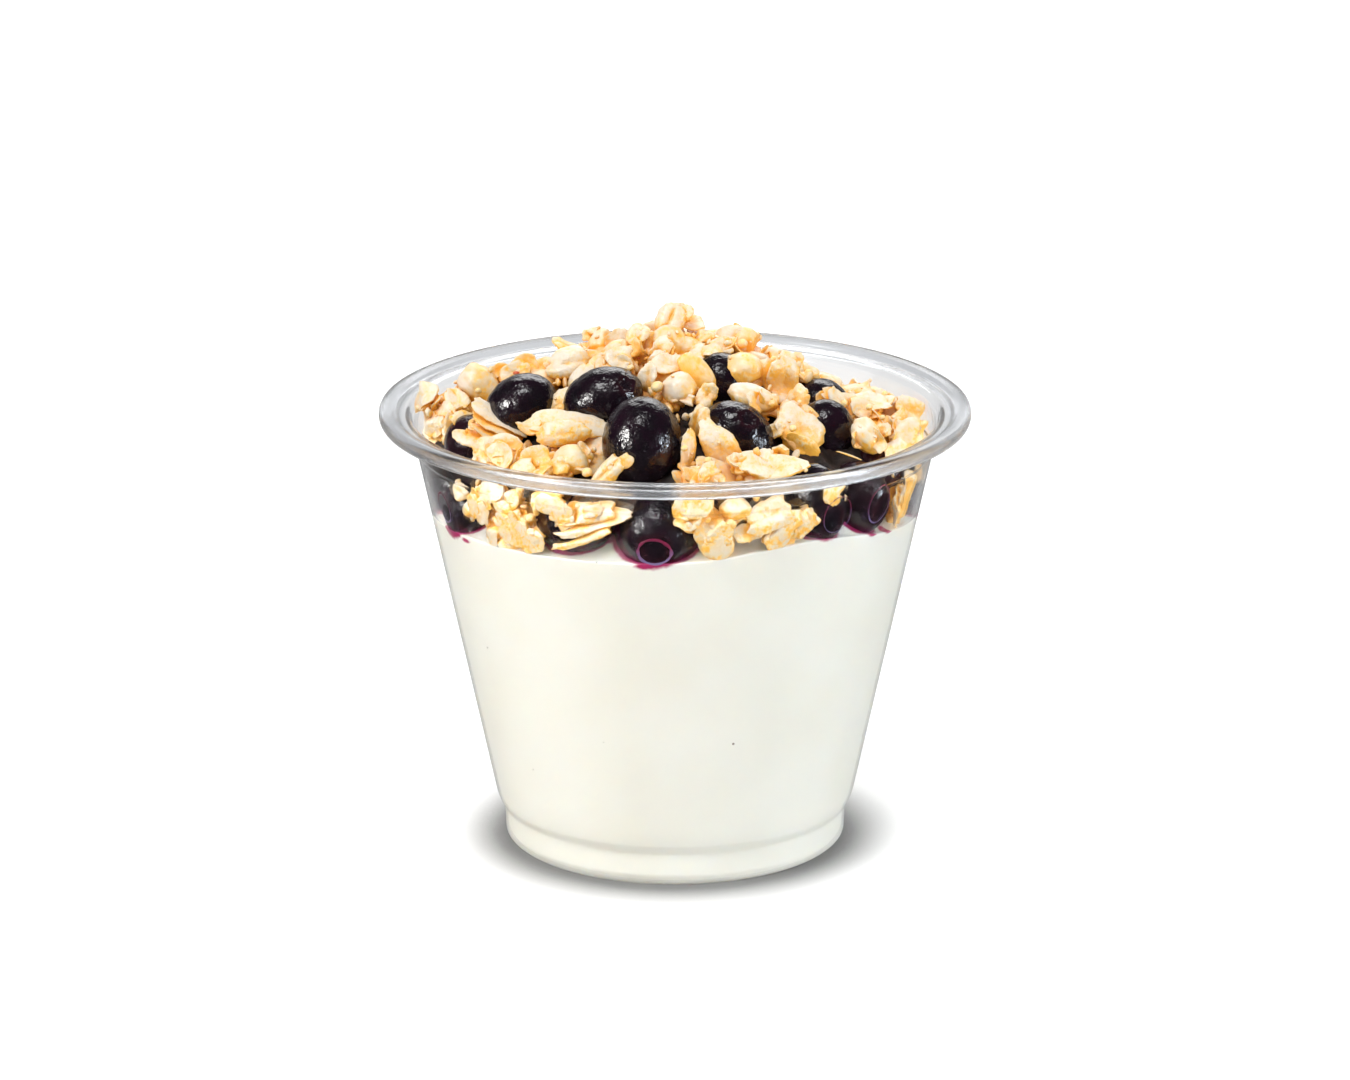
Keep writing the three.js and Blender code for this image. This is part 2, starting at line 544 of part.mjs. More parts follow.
function granolaSolid(cutters) {
  const random = seeded(3);
  const makers = { puff: puffGeometry, flake: flakeGeometry, crumb: crumbGeometry };
  const back = backPieces();
  const room = solidOf(toppingSpace());
  let heap = solidOf(coreGeometry());
  for (const hollow of hollows) {
    heap = heap.subtract(solidOf(placed(hollowGeometry(hollow), hollow)));
  }
  for (const cutter of cutters) {
    heap = heap.subtract(cutter);
  }
  let waiting = Object.keys(makers).flatMap((kind) =>
    [...pieces[kind], ...back[kind]].map((piece) => ({ ...piece, kind, seed: Math.floor(random() * 1e6) })));
  for (let round = 0; round < 3; round += 1) {
    waiting = waiting.filter((piece) => {
      const solid = fitted(makers[piece.kind], piece, heap, cutters, room);
      heap = solid ? heap.add(solid) : heap;
      return !solid;
    });
  }
  // Only what holds together is kept
  const parts = heap.decompose();
  return parts.reduce((best, part) => (part.volume() > best.volume() ? part : best));
}

// ---- the object

const parfait = new THREE.Group();

function addMesh(name, geometry, colour, roughness) {
  const material = new THREE.MeshStandardMaterial({ color: colour, roughness, metalness: 0 });
  const mesh = new THREE.Mesh(geometry, material);
  mesh.name = name;
  parfait.add(mesh);
}

const cutters = berries.map((berry) => solidOf(berryGeometry(berry, ballShape, gap + 0.2, null)));

addMesh("cup", cupGeometry(), 0xe8ecee, 0.08);

const cupInside = insideLine(gap);
const berryRoom = solidOf(
  skin(
    [0, 0, cupInside[0][1]],
    [...cupInside.map(([r, z]) => ringAt(r, () => z)), ringAt(mouthRadius - gap, () => cupHeight + 40)],
    [0, 0, cupHeight + 40],
  ),
);
let yogurt = solidOf(yogurtGeometry());
for (const cutter of cutters) {
  yogurt = yogurt.subtract(cutter);
}
addMesh("yogurt", geometryOf(yogurt), 0xf3efe4, 0.35);

berries.forEach((berry, i) => {
  const ball = solidOf(berryGeometry(berry, ballShape, 0, crownRelief)).intersect(berryRoom);
  addMesh(`blueberry_${String(i + 1).padStart(2, "0")}`, geometryOf(ball), 0x1b1a26, 0.3);
});

addMesh("granola", geometryOf(granolaSolid(cutters)), 0xe3bd7d, 0.7);

export default parfait;
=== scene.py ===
import bpy
import math
import numpy as np
from mathutils import Euler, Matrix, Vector


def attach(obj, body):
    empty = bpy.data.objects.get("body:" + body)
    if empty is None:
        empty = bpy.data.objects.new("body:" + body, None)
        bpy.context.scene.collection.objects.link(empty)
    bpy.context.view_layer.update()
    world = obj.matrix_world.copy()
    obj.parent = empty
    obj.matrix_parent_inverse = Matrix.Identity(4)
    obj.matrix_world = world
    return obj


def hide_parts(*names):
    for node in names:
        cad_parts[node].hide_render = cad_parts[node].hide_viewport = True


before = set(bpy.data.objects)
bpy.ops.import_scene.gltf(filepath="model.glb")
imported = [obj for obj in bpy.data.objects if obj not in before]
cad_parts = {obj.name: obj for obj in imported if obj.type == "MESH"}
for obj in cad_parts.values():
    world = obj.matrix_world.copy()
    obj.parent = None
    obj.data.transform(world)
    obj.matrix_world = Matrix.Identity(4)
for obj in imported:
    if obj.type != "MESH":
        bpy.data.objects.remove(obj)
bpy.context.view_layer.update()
mm = 0.001  # everything below is in millimetres until a mesh is made

cupSize = {
    "rimRadius": 46.0,
    "height": 70.2,
    "wall": 0.6,
    "wallFoot": (28.2, 8.0),  # outside radius and height where the taper starts
    "wallStart": 8.4,  # the same height inside
    "wallTop": (39.84, 62.0),
    "ledge": 63.5,
    "mouth": 40.4,  # inside radius under the rim
    "footRadius": 26.8,
    "footHeight": 5.4,
    "recess": 20.6,  # radius of the hollow under the foot
    "cornerBow": 0.55,
    "segments": 240,
}


def smooth(low, high, value):
    t = np.clip((value - low) / (high - low), 0, 1)
    return t * t * (3 - 2 * t)


def wallRadius(z):
    # outside of the tapered wall
    (r0, z0), (r1, z1) = cupSize["wallFoot"], cupSize["wallTop"]
    return r0 + (r1 - r0) * (z - z0) / (z1 - z0)


def innerRadius(z):
    # inside of the wall, from the foot's groove up to the mouth
    ledge = cupSize["ledge"]
    top = cupSize["height"] - 3
    straight = wallRadius(np.minimum(z, ledge)) - cupSize["wall"]
    rise = np.clip((z - ledge) / (top - ledge), 0, 1)
    return straight + (cupSize["mouth"] - straight) * rise


def pullIn(points, limit, free=False):
    # moves what lies further out than limit back to it, apart from what is free
    out = np.hypot(points[:, 0], points[:, 1])
    pull = np.where((out > limit) & np.logical_not(free), limit / np.maximum(out, 1e-6), 1)
    points[:, :2] *= pull[:, None]


def latticeNoise(points, size, seed=0):
    # smooth value noise from -1 to 1, its bumps about as wide as size
    p = np.asarray(points, float) / size + seed * 17.31
    cell = np.floor(p).astype(np.int64)
    f = p - cell
    f = f * f * (3 - 2 * f)
    total = np.zeros(len(p))
    for corner in range(8):
        off = np.array([corner & 1, (corner >> 1) & 1, (corner >> 2) & 1])
        c = cell + off
        h = (c[:, 0] * 374761393 + c[:, 1] * 668265263 + c[:, 2] * 2147483647 + seed * 144665) & 0xFFFFFFFF
        h = ((h ^ (h >> 13)) * 1274126177) & 0xFFFFFFFF
        h = (h ^ (h >> 16)) & 0xFFFF
        w = np.prod(np.where(off == 1, f, 1 - f), axis=1)
        total += w * (h / 32767.5 - 1)
    return total


def layeredNoise(points, size, seed=0, octaves=3):
    # the same with finer and weaker layers on it
    total, weight = 0, 0
    for k in range(octaves):
        total = total + latticeNoise(points, size / 2 ** k, seed + k) / 1.7 ** k
        weight += 1 / 1.7 ** k
    return total / weight


def ringFaces(rows, columns):
    # quads over rows of points, each row closed into a ring
    i = np.arange(rows - 1)[:, None] * columns
    c = np.arange(columns)[None, :]
    d = (c + 1) % columns
    return np.stack([i + c, i + d, i + columns + d, i + columns + c], -1).reshape(-1, 4)


def capFaces(rows, columns):
    # triangles from the first ring to one middle point and from the last ring to another
    c = np.arange(columns)
    d = (c + 1) % columns
    end, middle = (rows - 1) * columns, rows * columns
    first = np.stack([np.full(columns, middle), d, c], -1)
    last = np.stack([np.full(columns, middle + 1), end + c, end + d], -1)
    return np.concatenate([first, last])


def turnedOver(triangles):
    return triangles[:, (0, 2, 1)]


def newObject(name, data):
    made = bpy.data.objects.new(name, data)
    bpy.context.scene.collection.objects.link(made)
    return made


def makeObject(name, points, quads, tris, values, material, flat=None):
    # points in millimetres; values: for each name one number a point; flat: the quads with hard edges
    mesh = bpy.data.meshes.new(name)
    faces = [tuple(f) for f in np.asarray(quads, int).reshape(-1, 4).tolist()]
    faces += [tuple(f) for f in np.asarray(tris, int).reshape(-1, 3).tolist()]
    mesh.from_pydata((np.asarray(points, float) * mm).tolist(), [], faces)
    for key, numbers in values.items():
        attribute = mesh.attributes.new(key, "FLOAT", "POINT")
        attribute.data.foreach_set("value", np.asarray(numbers, np.float32))
    rounded = np.ones(len(mesh.polygons), bool)
    if flat is not None:
        rounded[:len(flat)] = ~flat
    mesh.polygons.foreach_set("use_smooth", rounded)
    mesh.update()
    mesh.materials.append(material)
    return newObject(name, mesh)


def filledCells(points, cell):
    # a soft map of how closely points fill space
    low = points.min(0) - 6 * cell
    grid = np.zeros(np.ceil((points.max(0) + 6 * cell - low) / cell).astype(int))
    np.add.at(grid, tuple(((points - low) / cell).astype(int).T), 1.0)
    grid = np.minimum(grid, 6.0)
    for axis in range(3):
        grid = (np.roll(grid, 1, axis) + 2 * grid + np.roll(grid, -1, axis)) / 4
    return grid, low, cell


def crowding(points, cells):
    # how closely pieces lie in front of each point, seen from outside the heap: 0 open to 1 crowded
    # this sets the painted shade of the granola
    grid, low, cell = cells
    out = np.maximum(np.hypot(points[:, 0], points[:, 1]), 1e-6)
    aside = np.clip((out - 22) / 14, 0, 1) * np.clip((70 - points[:, 2]) / 5, 0, 1)
    way = np.stack([points[:, 0] / out * aside, points[:, 1] / out * aside, 1.0 - aside], -1)
    way += np.array([0, -0.25, 0]) * (1 - aside)[:, None]
    way /= np.linalg.norm(way, axis=1)[:, None]
    total = 0
    for far in (1.0, 1.8, 2.6):
        spot = np.clip(((points + way * far - low) / cell).astype(int), 0, np.array(grid.shape) - 1)
        total = total + grid[tuple(spot.T)]
    return np.clip(total / 9.0, 0, 1)


class Heap:
    # collects many small meshes of one kind into one object

    def __init__(self):
        self.points, self.quads, self.tris, self.values, self.flat = [], [], [], [], []
        self.count = 0

    def add(self, points, quads, tris, values, flat=None):
        self.points.append(points)
        self.flat.append(np.zeros(len(quads), bool) if flat is None else flat)
        self.quads.append(np.asarray(quads, int).reshape(-1, 4) + self.count)
        self.tris.append(np.asarray(tris, int).reshape(-1, 3) + self.count)
        self.values.append(values)
        self.count += len(points)

    def make(self, name, material):
        keys = self.values[0].keys()
        values = {k: np.concatenate([v[k] for v in self.values]) for k in keys}
        return makeObject(
            name, np.concatenate(self.points), np.concatenate(self.quads),
            np.concatenate(self.tris), values, material, np.concatenate(self.flat),
        )


def ballPoints(rings, around):
    # unit directions from pole to pole, one point at each pole
    tilt = np.linspace(0, math.pi, rings + 2)[1:-1]
    spin = np.arange(around) / around * 2 * math.pi
    t, s = np.meshgrid(tilt, spin, indexing="ij")
    body = np.stack([np.sin(t) * np.cos(s), np.sin(t) * np.sin(s), np.cos(t)], -1).reshape(-1, 3)
    return np.concatenate([body, [[0, 0, 1], [0, 0, -1]]])


def ballFaces(rings, around):
    return ringFaces(rings, around)[:, ::-1], turnedOver(capFaces(rings, around))


class NodeKit:
    # short ways to add and join the nodes of one material or world

    def __init__(self, owner):
        owner.use_nodes = True
        self.owner = owner
        self.nodes, self.links = owner.node_tree.nodes, owner.node_tree.links
        self.shader = self.nodes.get("Principled BSDF")

    def fill(self, node, inputs):
        # inputs: for each socket's name or number another node's output, a number or a colour
        for key, value in inputs.items():
            socket = node.inputs[key]
            if isinstance(value, bpy.types.NodeSocket):
                self.links.new(value, socket)
            elif socket.type == "RGBA":
                socket.default_value = (*value, 1)
            else:
                socket.default_value = value

    def add(self, kind, inputs=None, **settings):
        node = self.nodes.new("ShaderNode" + kind)
        for key, value in settings.items():
            setattr(node, key, value)
        self.fill(node, inputs or {})
        return node

    def ramp(self, source, *stops):
        # stops: (place, colour) pairs
        node = self.add("ValToRGB", {"Fac": source})
        elements = node.color_ramp.elements
        while len(elements) < len(stops):
            elements.new(0.5)
        for element, (place, colour) in zip(elements, stops):
            element.position = place
            element.color = (*colour, 1)
        return node.outputs["Color"]

    def blend(self, factor, first, second):
        colours, blended = (6, 7), 2  # where a Mix node has its colours and their blend
        inputs = {0: factor, colours[0]: first, colours[1]: second}
        return self.add("Mix", inputs, data_type="RGBA").outputs[blended]

    def maths(self, how, first, second, clamp=False):
        return self.add("Math", {0: first, 1: second}, operation=how, use_clamp=clamp).outputs[0]

    def plus(self, first, second):
        return self.maths("ADD", first, second)

    def times(self, first, second, clamp=False):
        return self.maths("MULTIPLY", first, second, clamp)

    def spread(self, source, start, stop, low=0.0, high=1.0):
        # turns start to stop into low to high
        inputs = {"Value": source, "From Min": start, "From Max": stop, "To Min": low, "To Max": high}
        return self.add("MapRange", inputs).outputs[0]

    def cause(self, source, start, stop, most):
        # how much something counts: nothing at start, most of it at stop
        return self.spread(source, start, stop, high=most)

    def noise(self, size, detail=3.0, roughness=0.55):
        # size in millimetres
        where = self.add("TexCoord").outputs["Object"]
        inputs = {"Vector": where, "Scale": 1 / (size * mm), "Detail": detail, "Roughness": roughness}
        return self.add("TexNoise", inputs).outputs["Fac"]

    def carried(self, name):
        # a value that the mesh carries for each point
        return self.add("Attribute", attribute_name=name).outputs["Fac"]

    def bump(self, height, distance, strength=1.0):
        node = self.add("Bump", {"Height": height, "Distance": distance * mm, "Strength": strength})
        self.fill(self.shader, {"Normal": node.outputs["Normal"]})


def newFinish(name):
    return NodeKit(bpy.data.materials.new(name))


clearLook = {
    "thin": (0.985, 0.99, 0.992),
    # thick: the rim's grey tint, partly the thick plastic's own milkiness and partly painted for the grey
    # reflections that the rim shows
    "thick": (0.66, 0.68, 0.71),
    "ior": 1.36,
    "roughness": (0.05, 0.2),
    "straightThrough": 0.12,
    "shadow": (0.97, 0.975, 0.98),
    "ripple": {"size": 9.0, "height": 0.04, "strength": 0.35},
}


def clearPlastic():
    kit = newFinish("clearPlastic")
    thick = kit.carried("thick")
    smoothest, roughest = clearLook["roughness"]
    kit.fill(kit.shader, {
        "Base Color": kit.blend(thick, clearLook["thin"], clearLook["thick"]),
        "Transmission Weight": 1,
        "IOR": clearLook["ior"],
        "Roughness": kit.plus(kit.times(thick, roughest - smoothest), smoothest),
    })
    ripple = clearLook["ripple"]
    kit.bump(kit.noise(ripple["size"], 1.0), ripple["height"], ripple["strength"])
    through = kit.add("BsdfTransparent", {"Color": clearLook["shadow"]})
    light = kit.add("LightPath")
    share = kit.maths("MAXIMUM", light.outputs["Is Shadow Ray"], clearLook["straightThrough"])
    mixed = kit.add("MixShader", {0: share, 1: kit.shader.outputs[0], 2: through.outputs[0]})
    kit.fill(kit.nodes["Material Output"], {"Surface": mixed.outputs[0]})
    return kit.owner


yogurtLook = {
    "white": (0.800, 0.785, 0.705),
    "light": (0.825, 0.815, 0.745),
    "cloudSize": 16.0,
    "juice": (0.36, 0.012, 0.10),
    "juiceEdge": (0.62, 0.95),
    "speck": (0.10, 0.065, 0.03),
    "speckGap": 5.2,
    "speckSize": 0.045,  # as a share of the gap
    "roughness": 0.34,
    "glow": {"weight": 0.6, "radius": (1.0, 0.85, 0.65), "depth": 2.5},
}


def yogurtCream():
    kit = newFinish("yogurtCream")
    cloudy = kit.noise(yogurtLook["cloudSize"], 2.0)
    base = kit.ramp(cloudy, (0.35, yogurtLook["white"]), (0.65, yogurtLook["light"]))
    where = kit.add("TexCoord").outputs["Object"]
    cells = kit.add("TexVoronoi", {"Vector": where, "Scale": 1 / (yogurtLook["speckGap"] * mm)})
    split = kit.add("SeparateColor", {"Color": cells.outputs["Color"]})
    near = kit.maths("LESS_THAN", cells.outputs["Distance"], yogurtLook["speckSize"])
    half = kit.maths("GREATER_THAN", split.outputs[0], 0.5)
    flecked = kit.blend(kit.times(kit.times(near, half), 0.8), base, yogurtLook["speck"])
    juice = kit.plus(kit.carried("juice"), kit.times(kit.noise(1.1), 0.5))
    stained = kit.blend(kit.spread(juice, *yogurtLook["juiceEdge"]), flecked, yogurtLook["juice"])
    kit.fill(kit.shader, {
        "Base Color": stained,
        "Roughness": yogurtLook["roughness"],
        "Subsurface Weight": yogurtLook["glow"]["weight"],
        "Subsurface Radius": yogurtLook["glow"]["radius"],
        "Subsurface Scale": yogurtLook["glow"]["depth"] * mm,
    })
    kit.bump(kit.noise(3.5), 0.12, 0.5)
    return kit.owner


berryLook = {
    "skin": (0.0060, 0.0040, 0.0065),
    "purple": (0.012, 0.004, 0.009),
    "red": (0.050, 0.008, 0.012),
    "roughness": (0.12, 0.28),
    "gloss": 0.6,
    "wrinkles": 0.085,
}


def berrySkin(name, reddish):
    # near-black wet skin: fine wrinkles break its gloss, and red shows at thin places
    kit = newFinish(name)
    skin = kit.ramp(kit.noise(3.2, 4.0, 0.6), (0.38, berryLook["skin"]), (0.66, berryLook["purple"]))
    thin = kit.times(kit.plus(kit.carried("thin"), reddish), kit.noise(1.6), True)
    kit.fill(kit.shader, {
        "Base Color": kit.blend(thin, skin, berryLook["red"]),
        "Roughness": kit.spread(kit.noise(1.3), 0.35, 0.65, *berryLook["roughness"]),
        "Specular IOR Level": berryLook["gloss"],
    })
    wrinkled = kit.plus(kit.noise(0.45, 1.0, 0.5), kit.times(kit.noise(2.6, 2.0, 0.5), 1.4))
    free = kit.maths("SUBTRACT", 1.0, kit.carried("pressed"), True)
    kit.bump(kit.times(wrinkled, free), berryLook["wrinkles"])
    return kit.owner


granolaLook = {
    # pale, golden, amber and the crevice colour, and bead for millet, are lit and shaded copies of the
    # crust's colour: granolaCrust paints light and shade with them
    "pale": (0.78, 0.695, 0.575),
    "golden": (0.79, 0.65, 0.41),
    "amber": (0.92, 0.62, 0.22),
    # the colour of toast, also used as painted shade in dents and creases
    "toasted": (0.86, 0.48, 0.11),
    "creviceShade": (0.96, 0.50, 0.06),
    # painted shade deep in the heap and where pieces crowd in front
    "dark": (0.84, 0.36, 0.03),
    "bead": (0.90, 0.68, 0.27),
    "fruit": ((0.50, 0.05, 0.02), (0.62, 0.14, 0.03)),
    # painted shade: the core's near-black with slightly lighter lumps where it shows in the heap's gaps; the
    # brown is plain crumbs at the back
    "inside": (0.010, 0.005, 0.004),
    "insideLumps": (0.055, 0.020, 0.009),
    "insideBrown": (0.20, 0.085, 0.025),
    "roughness": (0.36, 0.62),
    "grain": 0.17,
    "paintedLightSide": (-0.35, -0.35, 0.87),  # the way that the sides face which are painted palest, towards the key light
    "shadeReach": 4.5,  # how near another piece must be to paint shade on the crust
    # what darkens the crust, the first two as painted shade, the rest as its own tone: where each starts, is
    # full, and how much it counts
    "meets": (0.97, 0.45, 1.1),
    "turnedFromLight": (0.8, -0.4, 0.6),
    "clouds": (0.3, 0.7, 0.4),
    "pits": (1.1, 0.78, 0.45),
    "tintCounts": 0.28,
    "steps": (0.36, 0.70, 0.90, 1.0),  # from the lightest to the crevice
    "glaze": {"Coat Weight": 0.3, "Coat Roughness": 0.3},
}


def granolaCrust(name, lightest, fineness):
    # painted light and shade: cream on sides facing the key light, golden on the sides, amber where pieces
    # meet and shade falls; its own tone mixed in
    kit = newFinish(name)
    grain = kit.plus(kit.noise(fineness, 3.0, 0.6), kit.noise(fineness * 2.6, 3.0, 0.6))
    shadeReach = granolaLook["shadeReach"] * mm
    exposed = kit.add("AmbientOcclusion", {"Distance": shadeReach}, samples=5, only_local=True).outputs["AO"]
    normal = kit.add("NewGeometry").outputs["Normal"]
    inputs = {0: normal, 1: granolaLook["paintedLightSide"]}
    facing = kit.add("VectorMath", inputs, operation="DOT_PRODUCT").outputs["Value"]
    # painted shade near other pieces and on sides turned from the light
    shade = kit.plus(kit.cause(exposed, *granolaLook["meets"]), kit.cause(facing, *granolaLook["turnedFromLight"]))
    shade = kit.plus(shade, kit.times(kit.carried("tint"), granolaLook["tintCounts"]))
    shade = kit.plus(shade, kit.cause(kit.noise(2.9, 3.0, 0.6), *granolaLook["clouds"]))
    shade = kit.plus(shade, kit.cause(grain, *granolaLook["pits"]))
    litToShaded = (lightest, *(granolaLook[name] for name in ("golden", "amber", "creviceShade")))
    base = kit.ramp(shade, *zip(granolaLook["steps"], litToShaded))
    # toast on edges and by chance, and painted shade in the dents and the crease
    toastAndShade = kit.times(kit.carried("toastAndShade"), kit.plus(kit.noise(1.1, 3.0, 0.6), 0.45), True)
    toastedAndShaded = kit.blend(toastAndShade, base, granolaLook["toasted"])
    kit.fill(kit.shader, {
        # painted shade deep in the heap and where pieces crowd in front
        "Base Color": kit.blend(kit.carried("deep"), toastedAndShaded, granolaLook["dark"]),
        "Roughness": kit.spread(kit.noise(1.8, 2.0), 0.35, 0.65, *granolaLook["roughness"]),
        **granolaLook["glaze"],
    })
    kit.bump(grain, granolaLook["grain"])
    return kit.owner


def granolaInside():
    # near-black at the front, painted as the shade in the heap's gaps, plain brown crumbs at its back
    kit = newFinish("granolaInside")
    lumps = kit.noise(1.6, 4.0, 0.6)
    gapShadeBlack = kit.ramp(lumps, (0.45, granolaLook["inside"]), (0.8, granolaLook["insideLumps"]))
    plain = kit.ramp(lumps, (0.42, granolaLook["insideBrown"]), (0.6, granolaLook["golden"]))
    kit.fill(kit.shader, {"Base Color": kit.blend(kit.carried("back"), gapShadeBlack, plain), "Roughness": 0.6})
    kit.bump(lumps, 0.3, 0.9)
    return kit.owner


def driedFruit():
    kit = newFinish("driedFruit")
    dull, bright = granolaLook["fruit"]
    colour = kit.ramp(kit.noise(0.5), (0.4, dull), (0.6, bright))
    kit.fill(kit.shader, {"Base Color": colour, "Roughness": 0.4})
    return kit.owner


def turnLine(line, segments):
    # turns (radius, height) points about the cup's axis
    line = np.asarray(line, float)
    spin = np.arange(segments) / segments * 2 * math.pi
    r, z = line[:, 0][:, None], line[:, 1][:, None]
    body = np.stack([r * np.cos(spin), r * np.sin(spin), z + 0 * spin], -1).reshape(-1, 3)
    points = np.concatenate([body, [[0, 0, line[0, 1]], [0, 0, line[-1, 1]]]])
    return points, ringFaces(len(line), segments), capFaces(len(line), segments)


def softened(points, amount):
    # cuts each corner of an open line into a short bow
    line = [points[0]]
    for before, corner, after in zip(points, points[1:], points[2:]):
        before, corner, after = (np.asarray(p, float) for p in (before, corner, after))
        lengthIn, lengthOut = np.linalg.norm(before - corner), np.linalg.norm(after - corner)
        reach = min(amount, 0.45 * lengthIn, 0.45 * lengthOut)
        start = corner + (before - corner) / lengthIn * reach
        stop = corner + (after - corner) / lengthOut * reach
        for t in (0, 0.25, 0.5, 0.75, 1):
            line.append(start * (1 - t) ** 2 + corner * 2 * t * (1 - t) + stop * t * t)
    line.append(points[-1])
    return [tuple(map(float, p)) for p in line]


def insideLine(inset):
    # the cup's inside from the middle of its floor up to the mouth
    foot = cupSize["footRadius"] - cupSize["wall"] - inset
    start = cupSize["wallStart"]
    edge = wallRadius(start) - cupSize["wall"] - inset
    ledge = cupSize["ledge"]
    ledgeIn = wallRadius(ledge) - cupSize["wall"] - inset
    recess = cupSize["recess"]
    return [
        (0.5, 1.3 + inset), (recess - 1.2, 1.3 + inset), (recess, 0.6 + inset), (foot - 0.8, 0.8 + inset),
        (foot, 1.8 + inset), (foot + 0.1, cupSize["footHeight"]), (edge - 0.4, 6.9 + inset * 0.5),
        (edge, start), (ledgeIn, ledge), (ledgeIn + 0.28, ledge + 0.35),
        (cupSize["mouth"] - inset, cupSize["height"] - 3),
    ]


def buildCup():
    h, rim, mouth, wall = (cupSize[k] for k in ("height", "rimRadius", "mouth", "wall"))
    foot, ledge, recess = (cupSize[k] for k in ("footRadius", "ledge", "recess"))
    ledgeOut = wallRadius(ledge)
    outside = [
        (0.5, 0.7), (recess - 0.6, 0.7), (recess, 0), (foot - 1.2, 0), (foot - 0.1, 0.9),
        (foot + 0.1, cupSize["footHeight"]), (cupSize["wallFoot"][0] - 0.5, 6.6), cupSize["wallFoot"],
        (ledgeOut, ledge), (ledgeOut + 0.28, ledge + 0.35), (mouth + wall, h - 2.6), (mouth + 1.3, h - 1.75),
        (rim - 2.9, h - 1.7), (rim - 2.45, h - 2.4), (rim - 1.3, h - 2.8), (rim - 0.25, h - 2.2),
        (rim, h - 1.2), (rim - 0.3, h - 0.3), (rim - 1.3, h), (rim - 2.4, h - 0.4),
        (rim - 2.9, h - 1.05), (mouth + 0.8, h - 1.2), (mouth + 0.1, h - 1.9),
    ]
    line = softened(outside + insideLine(0)[::-1], cupSize["cornerBow"])
    points, quads, tris = turnLine(line, cupSize["segments"])
    out = np.hypot(points[:, 0], points[:, 1])
    # the rim gets the grey tint: partly its own milkiness, partly a painted reflection
    thick = smooth(mouth + 1.2, mouth + 2.2, out)
    cup = makeObject("clearCup", points, quads, tris, {"thick": thick}, clearPlastic())
    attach(cup, "root")
    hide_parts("cup")
    print("cup made")


yogurtShape = {
    "line": 53.9,  # height where it meets the wall
    "tilt": 1.5,  # how much higher it stands at the front, and lower behind
    "swell": {"place": 33, "width": 22, "height": 2.3},  # degrees round from the front
    "rise": 2.6,  # of the middle over the wall's line
    "intoWall": 0.12,
    "cornerBow": 0.4,
    "lumps": {"size": 4.0, "height": 0.25},
    "segments": 360,
    "wallRows": 40,
}


def yogurtTop(x, y):
    out, angle = np.hypot(x, y), np.arctan2(x, -y)
    swell = yogurtShape["swell"]
    line = yogurtShape["line"] + yogurtShape["tilt"] * np.cos(angle)
    away = (angle - math.radians(swell["place"])) / math.radians(swell["width"])
    line = line + swell["height"] * np.exp(-away ** 2)
    inward = 1 - smooth(32.5, 37.4, out)
    return line + (yogurtShape["rise"] + 0.4 * np.sin(x * 0.31 + 1) * np.cos(y * 0.27)) * inward


# where juice has run down the wall: degrees round from the front, height, half width and half height
juiceRuns = [
    (-61.5, 54.5, 1.6, 0.6), (-57.5, 54.0, 1.5, 0.45), (-6.5, 55.1, 2.2, 0.6),
    (52, 56.0, 1.2, 0.5), (59, 55.4, 1.3, 0.5), (80, 54.3, 0.8, 0.4),
]


def juiceStain(points):
    # 1 where juice lies on the yogurt, falling to 0 round it
    angle = np.degrees(np.arctan2(points[:, 0], -points[:, 1]))
    out = np.hypot(points[:, 0], points[:, 1])
    juice = np.zeros(len(points))
    for place, height, width, tall in juiceRuns:
        along = (angle - place) * math.pi / 180 * 38
        spot = np.exp(-(along / width) ** 2 - ((points[:, 2] - height) / tall) ** 2)
        juice = np.maximum(juice, np.where(out > 34, spot, 0))
    for berry in berries:
        # berries stain what they touch
        half = np.asarray(berry["size"]) / 2
        apart = (np.sqrt((((points - berry["at"]) / half) ** 2).sum(1)) - 1) * half.mean()
        juice = np.maximum(juice, np.exp(-(np.maximum(apart, 0) / 0.75) ** 2))
    return juice


def buildYogurt():
    inset = -yogurtShape["intoWall"]
    segments = yogurtShape["segments"]
    spin = np.arange(segments) / segments * 2 * math.pi
    cos, sin = np.cos(spin), np.sin(spin)
    low = softened(insideLine(inset)[:8], yogurtShape["cornerBow"])
    rows = [np.stack([r * cos, r * sin, z + 0 * spin], -1) for r, z in low]
    top = np.full(segments, yogurtShape["line"])
    for _ in range(4):
        # the wall leans, so the line and its radius are found in a few steps
        radius = wallRadius(top) - cupSize["wall"] - inset
        top = yogurtTop(radius * cos, radius * sin)
    start = low[-1][1]
    for share in np.linspace(0, 1, yogurtShape["wallRows"])[1:]:
        z = start + (top - start) * (1 - (1 - share) ** 1.6)
        radius = wallRadius(z) - cupSize["wall"] - inset
        rows.append(np.stack([radius * cos, radius * sin, z], -1))
    for r in np.concatenate([np.linspace(37.2, 31, 22), np.linspace(29, 2, 12)]):
        x, y = r * cos, r * sin
        rows.append(np.stack([x, y, yogurtTop(x, y)], -1))
    body = np.concatenate(rows)
    surface = (body[:, 2] > 50) & (np.hypot(body[:, 0], body[:, 1]) < 37.5)
    lumps = yogurtShape["lumps"]
    body[:, 2] += np.where(surface, lumps["height"] * layeredNoise(body, lumps["size"], 3), 0)
    points = np.concatenate([body, [[0, 0, low[0][1]], [0, 0, float(yogurtTop(0.0, 0.0))]]])
    quads, tris = ringFaces(len(rows), segments), capFaces(len(rows), segments)
    yogurt = makeObject("yogurtFill", points, quads, tris, {"juice": juiceStain(points)}, yogurtCream())
    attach(yogurt, "root")
    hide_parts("yogurt")
    print("yogurt made")


def onWall(angle, out, z):
    a = math.radians(angle)
    return (out * math.sin(a), -out * math.cos(a), z)


